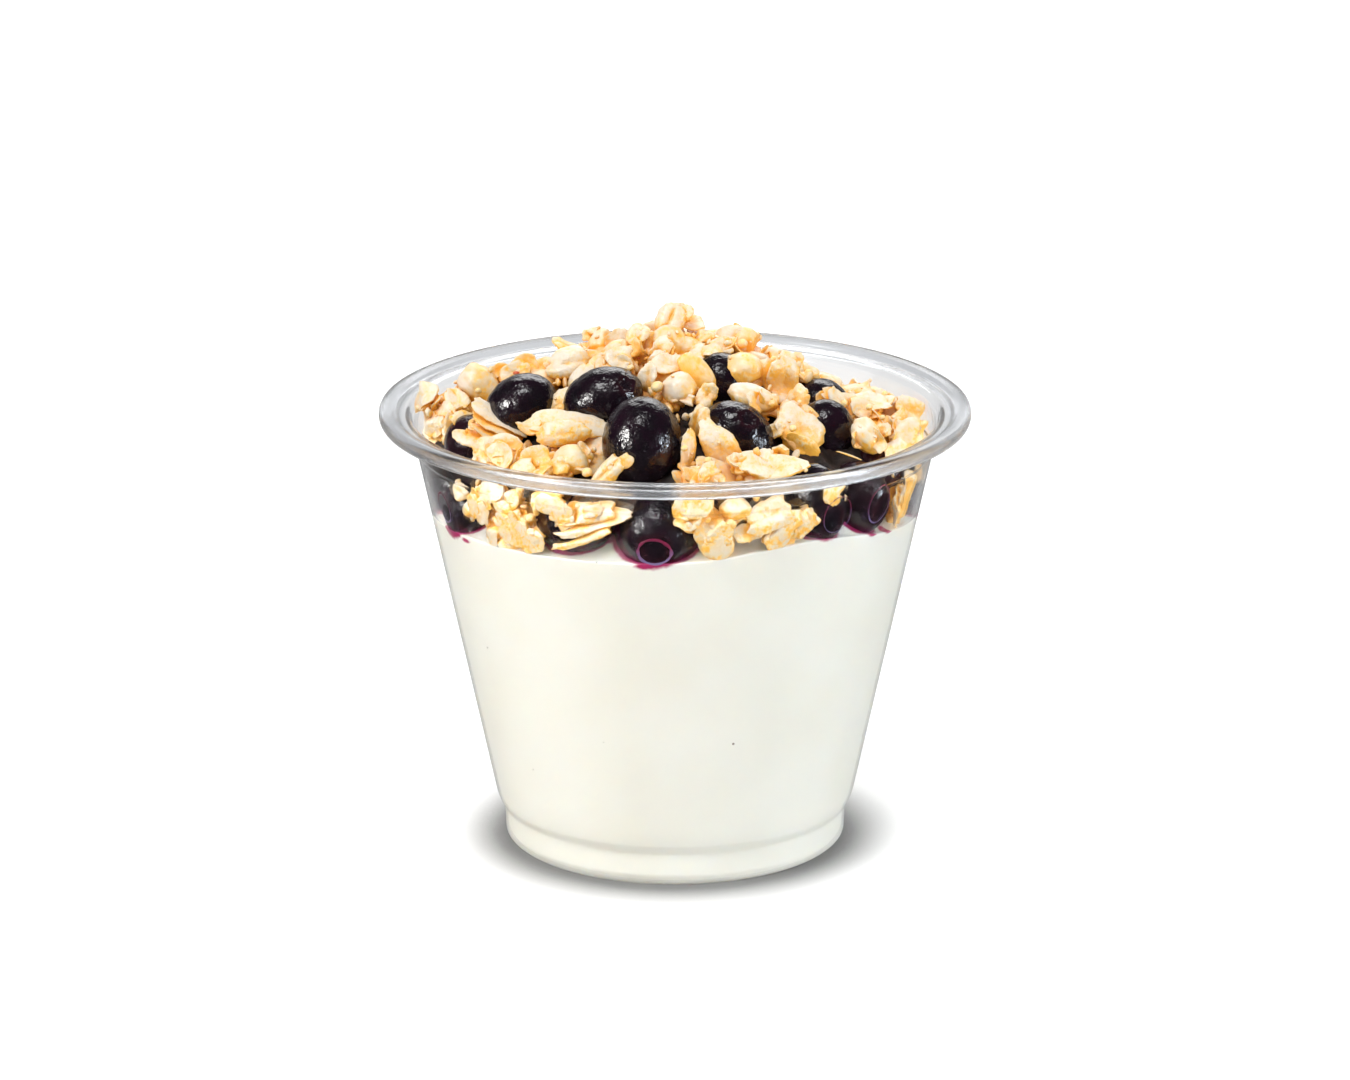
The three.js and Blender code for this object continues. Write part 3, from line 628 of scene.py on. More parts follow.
# middle; size across, deep and tall; crown: degrees round from the front and up; roll and turn in degrees;
# red: how much red shines through
berries = [
    {"at": (-5, -26, 71), "size": (12, 13.5, 14.2), "crown": (105, 15)},
    {"at": (-11, -14.5, 74.5), "size": (12.8, 10.4, 10), "roll": 22, "crown": (44, 37)},
    {"at": (-23.5, -12.5, 73.2), "size": (11.4, 10, 9.6), "roll": 28, "crown": (170, 30)},
    {"at": (9.5, -20.5, 70.5), "size": (12.4, 10, 10), "roll": -42, "crown": (31, 45)},
    {"at": (7, -6, 75), "size": (9.6, 9.6, 9.6), "crown": (150, 20)},
    {"at": (22.5, 4, 68), "size": (9.8, 9.8, 9.8), "crown": (120, 10)},
    {"at": (23, -12, 69), "size": (9, 9, 9.8), "crown": (-120, 0)},
    {"at": (31, -13, 63), "size": (8.2, 8.2, 8.2), "crown": (-60, -30), "red": 0.6},
    {"at": (-31, -9, 66.2), "size": (9.2, 9.2, 9), "crown": (60, 40), "red": 0.35},
    {"at": (-33.5, -3.5, 57.5), "size": (9.8, 9.8, 9.8), "turn": -84, "crown": (120, 0)},
    {"at": onWall(-64, 33.9, 57.4), "size": (9.6, 9.6, 9.8), "turn": -64, "crown": (100, 0)},
    {"at": onWall(-26.5, 33.5, 60), "size": (12.6, 10, 9.6), "turn": -26.5, "crown": (-70, 20)},
    {"at": onWall(-4.5, 32.6, 59.3), "size": (13.2, 13, 12.2), "turn": -4.5, "crown": (120, -20)},
    {"at": onWall(37.5, 34.4, 62), "size": (9.4, 10.4, 12.4), "turn": 37.5, "crown": (150, 0)},
    {"at": onWall(53.5, 34.5, 61), "size": (8.2, 10, 11.2), "turn": 53.5, "crown": (200, 0), "red": 0.25},
    {"at": onWall(82, 33.8, 57), "size": (9.2, 9.4, 10), "turn": 82, "crown": (-60, 20), "red": 0.25},
    {"at": (11.6, -26, 59.6), "size": (9.2, 9.2, 9.2), "crown": (100, 20)},
    {"at": (-13.6, -20, 65.4), "size": (9.4, 9.4, 9.2), "crown": (100, 20)},
    {"at": (-22.8, -20, 62.4), "size": (8.6, 8.6, 8.6), "crown": (-100, 30)},
    {"at": (2.4, -18.5, 63.6), "size": (9.2, 9.2, 9.2), "crown": (60, -10)},
    {"at": onWall(106, 32, 61), "size": (10.4, 10.4, 9.6), "crown": (100, 50)},
    {"at": onWall(132, 21.5, 66.5), "size": (11, 10.4, 9.8), "crown": (150, 50)},
    {"at": onWall(134, 33, 58.5), "size": (11, 10.8, 10.4), "crown": (30, 20)},
    {"at": onWall(167, 20, 67.5), "size": (11.4, 10.4, 9.8), "crown": (190, 60)},
    {"at": onWall(158, 32.5, 60), "size": (10, 10.4, 9.8), "crown": (158, 50)},
    {"at": onWall(200, 13, 70.5), "size": (10.4, 10.4, 9.8), "crown": (215, 40)},
    {"at": onWall(190, 33, 58), "size": (10.6, 10.4, 10.6), "crown": (100, 20)},
    {"at": onWall(215, 23, 67.5), "size": (11, 10, 9.6), "crown": (180, 50)},
    {"at": onWall(222, 33.4, 59.5), "size": (10.8, 10.4, 10), "crown": (222, 40)},
    {"at": onWall(250, 31.5, 61), "size": (10, 10.4, 9.8), "crown": (270, 40)},
]
berryShape = {"rings": 46, "around": 60, "crownWidth": 14, "crownDepth": 0.07, "intoWall": 0.06}


def turning(roll, rise, turn):
    # a matrix from angles in degrees
    return np.array(Euler([math.radians(v) for v in (roll, -rise, turn)], "XYZ").to_matrix())


def berryPoints(berry, seed):
    rays = ballPoints(berryShape["rings"], berryShape["around"])
    tilt = np.degrees(np.arccos(np.clip(rays[:, 2], -1, 1)))
    spin = np.arctan2(rays[:, 1], rays[:, 0])
    side, rise = (math.radians(v) for v in berry["crown"])
    crown = Vector((math.cos(rise) * math.sin(side), -math.cos(rise) * math.cos(side), math.sin(rise)))
    toCrown = np.array(Vector((0, 0, 1)).rotation_difference(crown).to_matrix())
    turnIt = turning(0, berry.get("roll", 0), berry.get("turn", 0))
    local = rays @ toCrown.T @ turnIt
    half = np.asarray(berry["size"]) / 2
    body = local * half
    # crown: a shallow pit with a torn five-part lip
    width = berryShape["crownWidth"] * (1 + 0.12 * np.cos(5 * spin + seed))
    pit = -berryShape["crownDepth"] * (1 - smooth(0.55, 1.0, tilt / width))
    lip = 0.035 * np.exp(-((tilt - width * 1.1) / 3.2) ** 2) * (1 + 0.5 * np.cos(5 * spin + seed))
    dents = 0.028 * layeredNoise(local * half.mean(), 4.5, seed, 2)
    creases = -0.022 * np.exp(-(layeredNoise(local * half.mean(), 2.6, seed + 9, 2) / 0.13) ** 2)
    body = body * (1 + pit + lip + dents + creases)[:, None]
    return body @ turnIt.T + np.asarray(berry["at"]), tilt, width


def buildBerries():
    quads, tris = ballFaces(berryShape["rings"], berryShape["around"])
    plain, reddish = berrySkin("berrySkin", 0.0), berrySkin("berrySkinRed", 0.55)
    for i, berry in enumerate(berries):
        points, tilt, width = berryPoints(berry, i + 1)
        out = np.hypot(points[:, 0], points[:, 1])
        limit = innerRadius(points[:, 2]) + berryShape["intoWall"]
        past = out - limit
        pullIn(points, limit)
        pressed = np.clip(past / 0.05 + 1, 0, 1)
        # red shows round the crown and where the skin just touches the wall
        thin = berry.get("red", 0) + 0.5 * np.exp(-((tilt - width) / 6) ** 2)
        thin = thin + 0.9 * np.exp(-(past / 0.14) ** 2) * (out > 30)
        name = f"berry{i + 1:02d}"
        values = {"thin": np.clip(thin, 0, 1), "pressed": pressed}
        made = makeObject(name, points, quads, tris, values, reddish if berry.get("red", 0) > 0.5 else plain)
        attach(made, "root")
        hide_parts(f"blueberry_{i + 1:02d}")
    print("berries made")


moundShape = {
    "peak": 79.5, "edge": 66.5, "backDrop": 5.5, "radius": 39,
    "swells": [((-34, -2), 4.5, 7), ((0, 1), 4, 5), ((32, -5), 1.5, 7)],  # middle, height and spread
}


def moundTop(x, y):
    # height of the mound's outline
    radius = moundShape["radius"]
    out = np.minimum(np.hypot(x, y), radius)
    behind = np.clip(0.35 + y / np.maximum(out, 1), 0, 1)
    edge = moundShape["edge"] - moundShape["backDrop"] * behind
    swell = 0
    for (sx, sy), height, spread in moundShape["swells"]:
        swell = swell + height * np.exp(-((x - sx) ** 2 + (y - sy) ** 2) / spread ** 2)
    return edge + (moundShape["peak"] - edge) * (1 - (out / radius) ** 1.8) + swell


def depthShade(points):
    # 0 at the mound's outline, rising to 1 a few millimetres further in
    # painted shade: the deeper inside the heap, the darker
    x, y, z = points.T
    above = moundTop(x, y) - z
    out = np.hypot(x, y)
    fromWall = innerRadius(z) - out
    inward = np.minimum(above, np.where(z < 67, fromWall, 99))
    return 0.85 * smooth(1.6, 6.5, inward)


def finished(points, tint, toastAndShade):
    # keeps a piece inside the cup and gives it its tint, its toast with painted shade, and its painted shade
    # deep in the heap
    pullIn(points, innerRadius(np.clip(points[:, 2], 8, 67.2)) + 0.05, points[:, 2] >= 69.5)
    values = {
        "tint": np.full(len(points), tint),
        "toastAndShade": np.clip(toastAndShade, 0, 1),
        "deep": depthShade(points),
    }
    return points, values


flakeShape = {
    # points round a flake, and rings from its middle to its edge
    "fine": (48, 7), "plain": (30, 5), "small": (24, 4),
    "thickness": 0.66,
    "curl": (-1.0, 1.1),  # how far its ends bend up
    "fold": (-0.8, 0.8),  # how far its sides do
    "creases": [0.0, 0.08, 0.25],  # the groove's depth as a share of the thickness
    "squareness": (1.9, 3.0),  # 2 is an oval
    "broken": 0.35,  # share with a broken end
}


def flakeReach(rng, spin, seed):
    # how far the edge lies out at each turn: rounded, uneven, torn in places
    ringPlaces = np.stack([np.cos(spin) * 2, np.sin(spin) * 2, spin * 0 + seed * 0.37], -1)
    square = rng.uniform(*flakeShape["squareness"])
    reach = (np.abs(np.cos(spin)) ** square + np.abs(np.sin(spin)) ** square) ** (-1 / square)
    waves, notches = latticeNoise(ringPlaces, 1.5, seed), latticeNoise(ringPlaces, 0.5, seed + 1)
    reach = reach * (1 + 0.15 * waves + 0.09 * notches)
    reach = reach + rng.uniform(-0.03, 0.03, len(spin))
    for _ in range(rng.integers(0, 3)):
        gone = (spin - rng.uniform(0, 2 * math.pi) + math.pi) % (2 * math.pi) - math.pi
        reach = reach * (1 - rng.uniform(0.06, 0.24) * np.exp(-(gone / rng.uniform(0.12, 0.25)) ** 2))
    return reach


def flakeBend(rng, u, v, curl, fold, edge):
    # height over a flat flake at shares u along and v across
    ruffle = 0.22 * edge * np.sin(3 * np.arctan2(v, u) + rng.uniform(0, 6))
    bend = curl * (u ** 2 - 0.3) + fold * v ** 2 * 0.7 + rng.uniform(-0.45, 0.45) * u * v + ruffle
    return bend + 0.18 * np.sin(u * rng.uniform(2.5, 5.5) + v * rng.uniform(-2, 2) + rng.uniform(0, 6))


def flakePiece(heap, at, size, tip, seed, curl=None, fold=None, thick=None, detail="fine", crumbs=None,
               tint=None, crease=None):
    # a rolled oat: a thin uneven plate with torn edges, curled, folded, and creased down its middle
    rng = np.random.default_rng(seed)
    spokes, rings = flakeShape[detail]
    length, width = size
    curl = rng.uniform(*flakeShape["curl"]) if curl is None else curl
    fold = rng.uniform(*flakeShape["fold"]) if fold is None else fold
    thick = (thick or flakeShape["thickness"]) * rng.uniform(0.85, 1.15)
    crease = rng.choice(flakeShape["creases"]) if crease is None else crease
    spin = np.arange(spokes) / spokes * 2 * math.pi
    reach = flakeReach(rng, spin, seed)
    shares = np.sin(np.linspace(0, 1, rings + 1)[1:] * math.pi / 2)
    layers, edges = [], []
    for face in (1, -1):
        for share in (shares if face == 1 else shares[::-1]):
            x = length / 2 * share * reach * np.cos(spin)
            y = width / 2 * share * reach * np.sin(spin)
            body = thick / 2 * (1 - 0.72 * share ** 6)
            groove = crease * thick * np.exp(-(y / 0.3) ** 2) * (1 - share ** 3)
            layers.append(np.stack([x, y, face * (body - groove)], -1))
            edges.append(np.full(spokes, share ** 5))
    points = np.concatenate(layers + [[[0, 0, thick * 0.15], [0, 0, -thick * 0.15]]])
    edge = np.concatenate(edges + [[0, 0]])
    if rng.uniform() < flakeShape["broken"]:
        stop = length / 2 * rng.uniform(0.35, 0.75) + 0.25 * np.sin(points[:, 1] * 3 + seed)
        points[:, 0] = np.minimum(points[:, 0], stop)
    flat = points[:, :2].copy()
    bend = flakeBend(rng, flat[:, 0] / (length / 2), flat[:, 1] / (width / 2), curl, fold, edge)
    lane = np.stack([flat[:, 0] * 0.35, flat[:, 1], flat[:, 0] * 0 + seed * 0.7], -1)
    ribs, dents = layeredNoise(lane, 0.8, seed + 5, 2), layeredNoise(points, 1.9, seed + 6, 2)
    points[:, 2] += bend + 0.07 * ribs + 0.14 * dents
    points += 0.05 * layeredNoise(points, 0.8, seed + 11, 2)[:, None]
    quads, tris = ringFaces(2 * rings, spokes), turnedOver(capFaces(2 * rings, spokes))
    points = points @ turning(*tip).T + np.asarray(at, float)
    toastAndShade = 0.12 * edge + 0.40 * np.clip(layeredNoise(points, 1.6, seed + 3), 0, 1)
    # painted shade in the crease groove
    toastAndShade = toastAndShade + 1.2 * crease * np.exp(-(flat[:, 1] / 0.3) ** 2) * (1 - edge)
    points, values = finished(points, rng.uniform(0, 1) if tint is None else tint, toastAndShade)
    rim = np.arange(len(quads)) // spokes == rings - 1
    heap.add(points, quads[:, ::-1], tris, values, rim)
    if crumbs:
        # bits baked onto it
        for k, spot in enumerate(rng.integers(0, 2 * rings * spokes, rng.integers(0, 3))):
            crumbPiece(crumbs, points[spot], rng.uniform(0.5, 1.1), seed * 13 + k, "small")


# points from pole to pole and round, for each size of puff and crumb
puffShape = {"fine": (22, 30), "plain": (14, 20), "bead": (10, 14), "dot": (8, 12), "flats": 5}
crumbShape = {"plain": (5, 8), "small": (4, 7), "lumpy": 0.32, "flats": 3}


def anyWay(rng, drift=0):
    # a direction by chance, leaning towards drift
    way = rng.normal(size=3) + drift
    return way / np.linalg.norm(way)


def puffPiece(heap, at, size, tip, seed, lumpy=0.09, detail="fine", tint=None):
    # a puffed grain or a glazed lump, pressed flat here and there
    rng = np.random.default_rng(seed)
    rays = ballPoints(*puffShape[detail])
    deep = size[2] if len(size) > 2 else size[1] * rng.uniform(0.85, 1.0)
    half = np.array([size[0], size[1], deep]) / 2
    points = rays * half
    swell = latticeNoise(points, size[1] * 0.5, seed) * lumpy
    swell = swell + lumpy * 0.6 * layeredNoise(points, 1.2, seed + 4, 2)
    swell = swell - 0.05 * np.exp(-(layeredNoise(points, 2.2, seed + 8, 2) / 0.12) ** 2)
    swell = swell + 0.02 * layeredNoise(points, 0.9, seed + 21, 2)
    points = points * (1 + swell)[:, None]
    if size[0] > 3:
        for _ in range(puffShape["flats"]):
            way = anyWay(rng)
            reach = np.linalg.norm(half * way) * rng.uniform(0.72, 0.9)
            past = np.maximum(points @ way - reach, 0)
            points -= (past * 0.75)[:, None] * way
    points[:, 2] += 0.12 * half[0] * (points[:, 0] / half[0]) ** 2 * rng.uniform(-1, 1)
    quads, tris = ballFaces(*puffShape[detail])
    points = points @ turning(*tip).T + np.asarray(at, float)
    # painted shade in the dents, and toast by chance
    toastAndShade = 0.4 * np.clip(-swell / lumpy, 0, 1)
    toastAndShade = toastAndShade + 0.3 * np.clip(layeredNoise(points, 1.6, seed + 7), 0, 1)
    points, values = finished(points, rng.uniform(0, 1) if tint is None else tint, toastAndShade)
    heap.add(points, quads, tris, values)


def beadPiece(heap, at, size, rise, seed):
    puffPiece(heap, at, (size, size * 0.94), (0, rise, 0), seed, 0.03, "bead")


def crumbPiece(heap, at, size, seed, detail="plain"):
    # a broken bit: a lumpy ball with some sides struck off flat
    rng = np.random.default_rng(seed)
    lumpy = crumbShape["lumpy"]
    rays = ballPoints(*crumbShape[detail])
    half = np.array([size, size * rng.uniform(0.55, 0.9), size * rng.uniform(0.35, 0.7)]) / 2
    points = rays * half
    swell = lumpy * layeredNoise(points, size * 0.4, seed, 2)
    points = points * (1 + swell)[:, None]
    for _ in range(crumbShape["flats"]):
        way = anyWay(rng)
        past = points @ way - size * rng.uniform(0.18, 0.34)
        points -= np.maximum(past, 0)[:, None] * way
    quads, tris = ballFaces(*crumbShape[detail])
    tip = rng.uniform(-90, 90, 3)
    points = points @ turning(*tip).T + np.asarray(at, float)
    # painted shade in the dents, and toast by chance
    toastAndShade = 0.5 * np.clip(-swell / lumpy, 0, 1) + rng.uniform(0, 0.3)
    points, values = finished(points, rng.uniform(0, 1), toastAndShade)
    heap.add(points, quads, tris, values)


def stuckOn(flakes, crumbs, at, size, seed):
    # bits of flake and crumb baked to a lump's sides
    rng = np.random.default_rng(seed)
    for k in range(4 if size[0] > 4.4 else 2):  # more on the large ones
        way = anyWay(rng, np.array([0, 0.5, -0.5]))
        spot = np.asarray(at) + way * size[1] * rng.uniform(0.44, 0.54)
        leaf = rng.uniform(0.45, 0.75) * size[0]
        lean = math.degrees(math.acos(abs(way[2])))
        leafSize = (leaf, leaf * rng.uniform(0.4, 0.7))
        tip = (lean * 0.8, rng.uniform(-60, 60), rng.uniform(-50, 50))
        flakePiece(flakes, spot, leafSize, tip, seed * 17 + k, detail="small")
    for k in range(4):
        spot = np.asarray(at) + anyWay(rng) * np.array([size[0], size[1], size[1]]) * 0.46
        crumbPiece(crumbs, spot, rng.uniform(0.5, 1.4), seed * 19 + k)


def outward(at):
    # direction out of the mound at a place
    x, y, _ = at
    step = 0.5
    slope = np.array([
        (moundTop(x + step, y) - moundTop(x - step, y)) / (2 * step),
        (moundTop(x, y + step) - moundTop(x, y - step)) / (2 * step),
    ])
    way = np.array([-slope[0], -slope[1], 1.0])
    return way / np.linalg.norm(way)


def stackPiece(flakes, crumbs, at, size, tip, seed, count, gap, step):
    # flakes lying on each other like tiles, the lower ones set forward
    rng = np.random.default_rng(seed)
    turned = turning(*tip)
    for k in range(count):
        shift = np.array([rng.uniform(-0.5, 0.5), -step * k, -gap * k])
        leaf = np.array(size) * rng.uniform(0.85, 1.08)
        lean = (tip[0] + rng.uniform(-4, 4), tip[1] + 4 * k + rng.uniform(-2, 2), tip[2] + rng.uniform(-5, 5))
        flakePiece(flakes, np.asarray(at) + shift @ turned.T, leaf, lean, seed * 7 + k,
                   curl=-0.35, fold=rng.uniform(-0.2, 0.3), thick=0.55, crumbs=crumbs)


def clusterPiece(flakes, crumbs, at, size, tip, seed, count):
    # flakes baked together in uneven layers, with crumbs stuck between
    rng = np.random.default_rng(seed)
    turned = turning(*tip)
    length, width = size
    for k in range(count):
        layer = (k / max(count - 1, 1) - 0.5) * min(0.5 * count, 3.4)
        spot = np.array([rng.uniform(-0.34, 0.34) * length, rng.uniform(-0.34, 0.34) * width, layer])
        leaf = rng.uniform(3.4, 6.2)
        lean = (tip[0] + rng.uniform(-24, 24), tip[1] + rng.uniform(-24, 24), tip[2] + rng.uniform(-30, 30))
        flakePiece(flakes, spot @ turned.T + at, (leaf, leaf * rng.uniform(0.5, 0.78)), lean, seed * 31 + k,
                   thick=0.58, detail="small")
    for k in range(count * 3):
        spot = rng.uniform(-0.46, 0.46, 3) * np.array([length, width, 2.6])
        crumbPiece(crumbs, spot @ turned.T + at, rng.uniform(0.6, 1.9), seed * 57 + k)


# The pieces that show: middle, length and width, then roll, rise and turn in degrees. A roll of 0 lies flat
# and 90 stands facing the front, rise lifts the right end, turn is about the vertical. What is unusual comes
# last. Each kind counts its seeds from a number of its own.
shownFlakes = [
    # left side
    ((-38, -2, 68), (6, 4.6), (80, 80, -60)),
    ((-36.4, -3.5, 67.4), (7.4, 3.8), (70, 75, -15)),
    ((-34.6, -6.5, 67.8), (5.8, 2.6), (60, 72, 45)),
    ((-32.4, 0.5, 69.6), (6, 4.8), (60, 25, -10), {"curl": 1.4}),
    ((-32.2, -8.6, 69.6), (5.4, 3.4), (30, -5, 0)),
    ((-29, -12.4, 69.8), (6, 4), (55, 15, 0)),
    ((-24.4, -1.2, 75), (4.6, 3.8), (64, 24, 0), {"tint": 1.2}),
    ((-29.9, -16.5, 68.8), (5.6, 3), (26, -32, 0)),
    ((-21.8, -26.8, 68.8), (4.6, 2), (85, 80, 20)),
    ((-23.4, -27, 69), (3.6, 1.8), (85, 70, 10)),
    # left of the middle
    ((-15.5, 1.5, 78.2), (7.6, 3.2), (25, -17, 0), {"thick": 1.0, "tint": 1.1}),
    ((-16.4, -3.4, 77.2), (6.8, 4.6), (60, 10, 0), {"thick": 1.5, "tint": 0.1}),
    ((-11.6, -5.4, 77.4), (5.6, 4), (52, 30, 12), {"curl": 1.1, "tint": 1.1}),
    ((-14.6, -9.6, 76), (6.6, 3.6), (66, 62, 0), {"tint": 0.4}),
    ((-17.5, -15, 74.2), (5.4, 4.2), (62, 38, 0)),
    ((-9, 2, 78.9), (5.8, 4), (72, 76, 10), {"tint": 0.1}),
    ((-5.6, 2, 79.4), (7.2, 3.6), (74, 82, 0), {"curl": 0.6, "tint": 0.1}),
    ((-4.8, -3, 80.4), (7.2, 3.2), (72, 80, 10), {"thick": 1.0}),
    ((-16.5, -21, 72.3), (13.4, 5.2), (30, -3, 0), {"curl": -0.6, "tint": 0.2}),
    ((-21.4, -21.8, 72.2), (5, 2.4), (34, 2, 0)),
    ((-17, -24.2, 71.9), (8.6, 4.4), (74, 4, 0),
     {"curl": -0.7, "fold": -0.7, "thick": 1.0, "tint": 1.3, "crease": 0.0}),
    ((-9.6, -33, 69), (7.4, 3), (62, 46, 0), {"thick": 1.3}),
    ((-7.8, -33, 70.2), (4.6, 2.2), (62, 30, 0)),
    # tall middle group
    ((-0.9, 0.2, 83.1), (6.2, 4.8), (72, 64, 5),
     {"curl": -0.6, "fold": -0.9, "thick": 1.6, "tint": 0.3, "crease": 0.3}),
    ((1.3, 1.2, 84.1), (3.4, 2.6), (70, 30, 0), {"thick": 1.1}),
    ((-2.8, -8.6, 78.9), (5, 2.8), (68, 55, 0), {"tint": 0.2}),
    ((-4, -13.2, 77.8), (5.2, 3), (72, 85, 0), {"tint": 0.2}),
    ((-0.4, -11, 78.6), (5, 3.4), (66, 40, 0)),
    ((4.9, -17.8, 76.3), (5.2, 3.2), (60, 66, 25), {"thick": 1.5}),
    ((3.6, -24, 74), (5, 3.2), (70, 72, -20), {"thick": 1.6}),
    ((2.1, -31, 70.4), (8.8, 2.4), (62, 81, 60)),
    ((6.8, -29.2, 71), (10.6, 5), (72, -58, 0), {"curl": -0.5, "fold": -0.4, "thick": 1.1, "tint": 0.3}),
    # right of the middle
    ((9.6, 3, 79.6), (6.4, 4), (62, -12, 0), {"thick": 1.2, "tint": 0.2}),
    ((18.2, -2.5, 77.8), (4.6, 2.6), (55, -10, 0)),
    ((16.9, -8, 75.4), (9.4, 5.6), (74, -78, 8), {"thick": 1.7, "tint": 0.4}),
    ((14.8, -7.6, 76.4), (6.4, 3.6), (70, -66, -8), {"thick": 1.2}),
    ((18.6, -12.6, 73.8), (5.4, 4), (65, 70, -20), {"thick": 1.4}),
    ((18.8, -18.4, 70.8), (10, 6.2), (58, -47, 8), {"curl": 0.3, "fold": 0.6, "thick": 1.8, "tint": 0.2}),
    ((14.8, -20.4, 71), (4.2, 2.2), (60, 24, 0), {"thick": 1.2}),
    ((19.2, -20.6, 68.8), (6, 3.6), (100, -30, 0), {"tint": 1.5}),
    ((15.8, -28.5, 70.2), (5, 2.6), (75, 85, 0), {"thick": 1.5}),
    ((15.2, -31.6, 68.6), (10, 4.2), (34, 3, 0), {"thick": 1.4}),
    # right side
    ((29.7, -2, 73), (3.8, 2.6), (62, 22, 0), {"curl": 1.2}),
    ((36, -4, 70.2), (5.4, 3.6), (60, -36, 18), {"thick": 1.0, "tint": 0.4}),
    ((32, -9, 69), (3.2, 2.4), (60, 40, 0)),
    ((35.4, -9.4, 68.4), (5.4, 3.8), (60, 62, 30), {"thick": 1.3}),
    ((33.8, -15.8, 67.2), (5, 3), (50, 10, 30)),
    ((37.8, -3, 65.8), (5, 3.6), (75, 80, 75)),
    # seen through the wall
    ((-27.8, -26.6, 63.5), (6, 3.6), (70, 10, -47)),
    ((-32.8, -19.6, 61.9), (3.6, 2.4), (70, -20, -60)),
    ((-25, -27.8, 60.8), (5.8, 3.2), (66, 62, -41), {"fold": -0.5, "tint": 0.2}),
    ((-26.2, -25.6, 57.6), (4.8, 2.8), (58, 35, -44), {"fold": -0.5, "tint": 0.5}),
    ((-20.9, -32.2, 63.1), (3.6, 1.4), (85, 85, -30)),
    ((14.6, -35.4, 62.8), (10, 5), (70, 24, 22), {"thick": 1.4, "tint": 0.3}),
    ((10.8, -36.4, 60.1), (4.8, 3), (75, 10, 16)),
    ((19.6, -33, 61), (5.4, 3.4), (75, 30, 30)),
    ((37.6, -8, 61.8), (4.4, 2), (80, 80, 78)),
]
# after the tip: how many, the gap down to the next flake, and how far it lies in front
shownStacks = [
    ((-26, -15.4, 71.9), (9.6, 4), (26, -32, 0), 4, 0.95, 1.15),
    ((-12.9, -35.3, 62.6), (12.4, 3.4), (50, 15, -19), 3, 0.9, 1.0),
    ((25.6, -8.4, 72.2), (5.6, 3), (60, -56, 20), 3, 0.9, 0.2),
    ((30, -6.4, 72), (6.4, 3.6), (34, -6, 0), 4, 0.9, 1.0),
    ((26.2, -7, 71.8), (5, 3), (40, 14, 0), 3, 0.8, 0.9),
    ((-2.4, -6.4, 80.2), (4.6, 3), (60, 50, 0), 2, 0.8, 0.8),
    ((12.6, -30.6, 69.8), (7, 4), (40, 8, 0), 3, 0.8, 0.8),
    ((-36.6, -6, 68.8), (6, 3.2), (62, 66, 0), 3, 0.9, 0.4),
]
shownPuffs = [
    ((3.2, -12.6, 78.1), (8.2, 4.8, 2.2), (70, -52, 0), {"lumpy": 0.02, "tint": 1.4}),
    ((-30.3, -1, 73.4), (8.2, 6.4), (0, -50, 0), {"lumpy": 0.04}),
    ((-16.2, -0.8, 77), (6.2, 5), (0, 10, 0)),
    ((-11.5, 5, 78.4), (5, 4.4), (0, 60, 0)),
    ((-1.1, -1.8, 80.4), (6, 5.6), (0, 20, 0), {"lumpy": 0.06}),
    ((0.6, -16, 76.8), (5.6, 5.4), (0, 0, 0), {"lumpy": 0.04}),
    ((-15.6, -28.6, 69.2), (6, 5.4), (0, 0, 0), {"lumpy": 0.05}),
    ((8.2, 4, 79), (4.2, 3.6), (0, 70, 0)),
    ((11, 3.5, 79.4), (4.4, 4.2), (0, -40, 0)),
    ((10.4, -7.4, 77.4), (7.2, 6.2), (0, 0, 0), {"lumpy": 0.05}),
    ((12, -16.2, 75.2), (8.4, 4.6), (0, -20, 0), {"lumpy": 0.04}),
    ((29.2, -16.2, 69.4), (6.4, 5), (0, -60, 0), {"lumpy": 0.04}),
    ((-30.6, -21.6, 59.4), (3.4, 3), (0, 0, -50)),
    ((-23.4, -30.4, 59), (3.6, 2.8), (0, 10, -40), {"lumpy": 0.04}),
    ((-26.6, -24.6, 56), (3.8, 2.8), (0, 30, -45)),
    ((-24.4, -27, 56), (3.6, 3), (0, -20, -42)),
    ((-22.4, -28.8, 56.6), (3, 2.4), (0, 60, -38)),
    ((9, -36.6, 63.9), (5, 3.4), (0, 0, 14)),
    ((6.2, -35.8, 58.8), (6, 6), (0, 60, 10), {"lumpy": 0.06}),
    ((26.2, -27.0, 69.4), (4.8, 0.3, 0.3), (0, -20, 0), {"lumpy": 0.02}),  # a loose fibre
]
# dots of dried fruit: middle and size
shownDots = [
    ((-24.5, -2.2, 75.5), (1.1, 1.0, 0.6)), ((-6.3, -4.3, 79.2), (0.5, 0.4, 0.4)),
    ((-5.6, -4.3, 78.4), (0.4, 0.4, 0.3)),
]
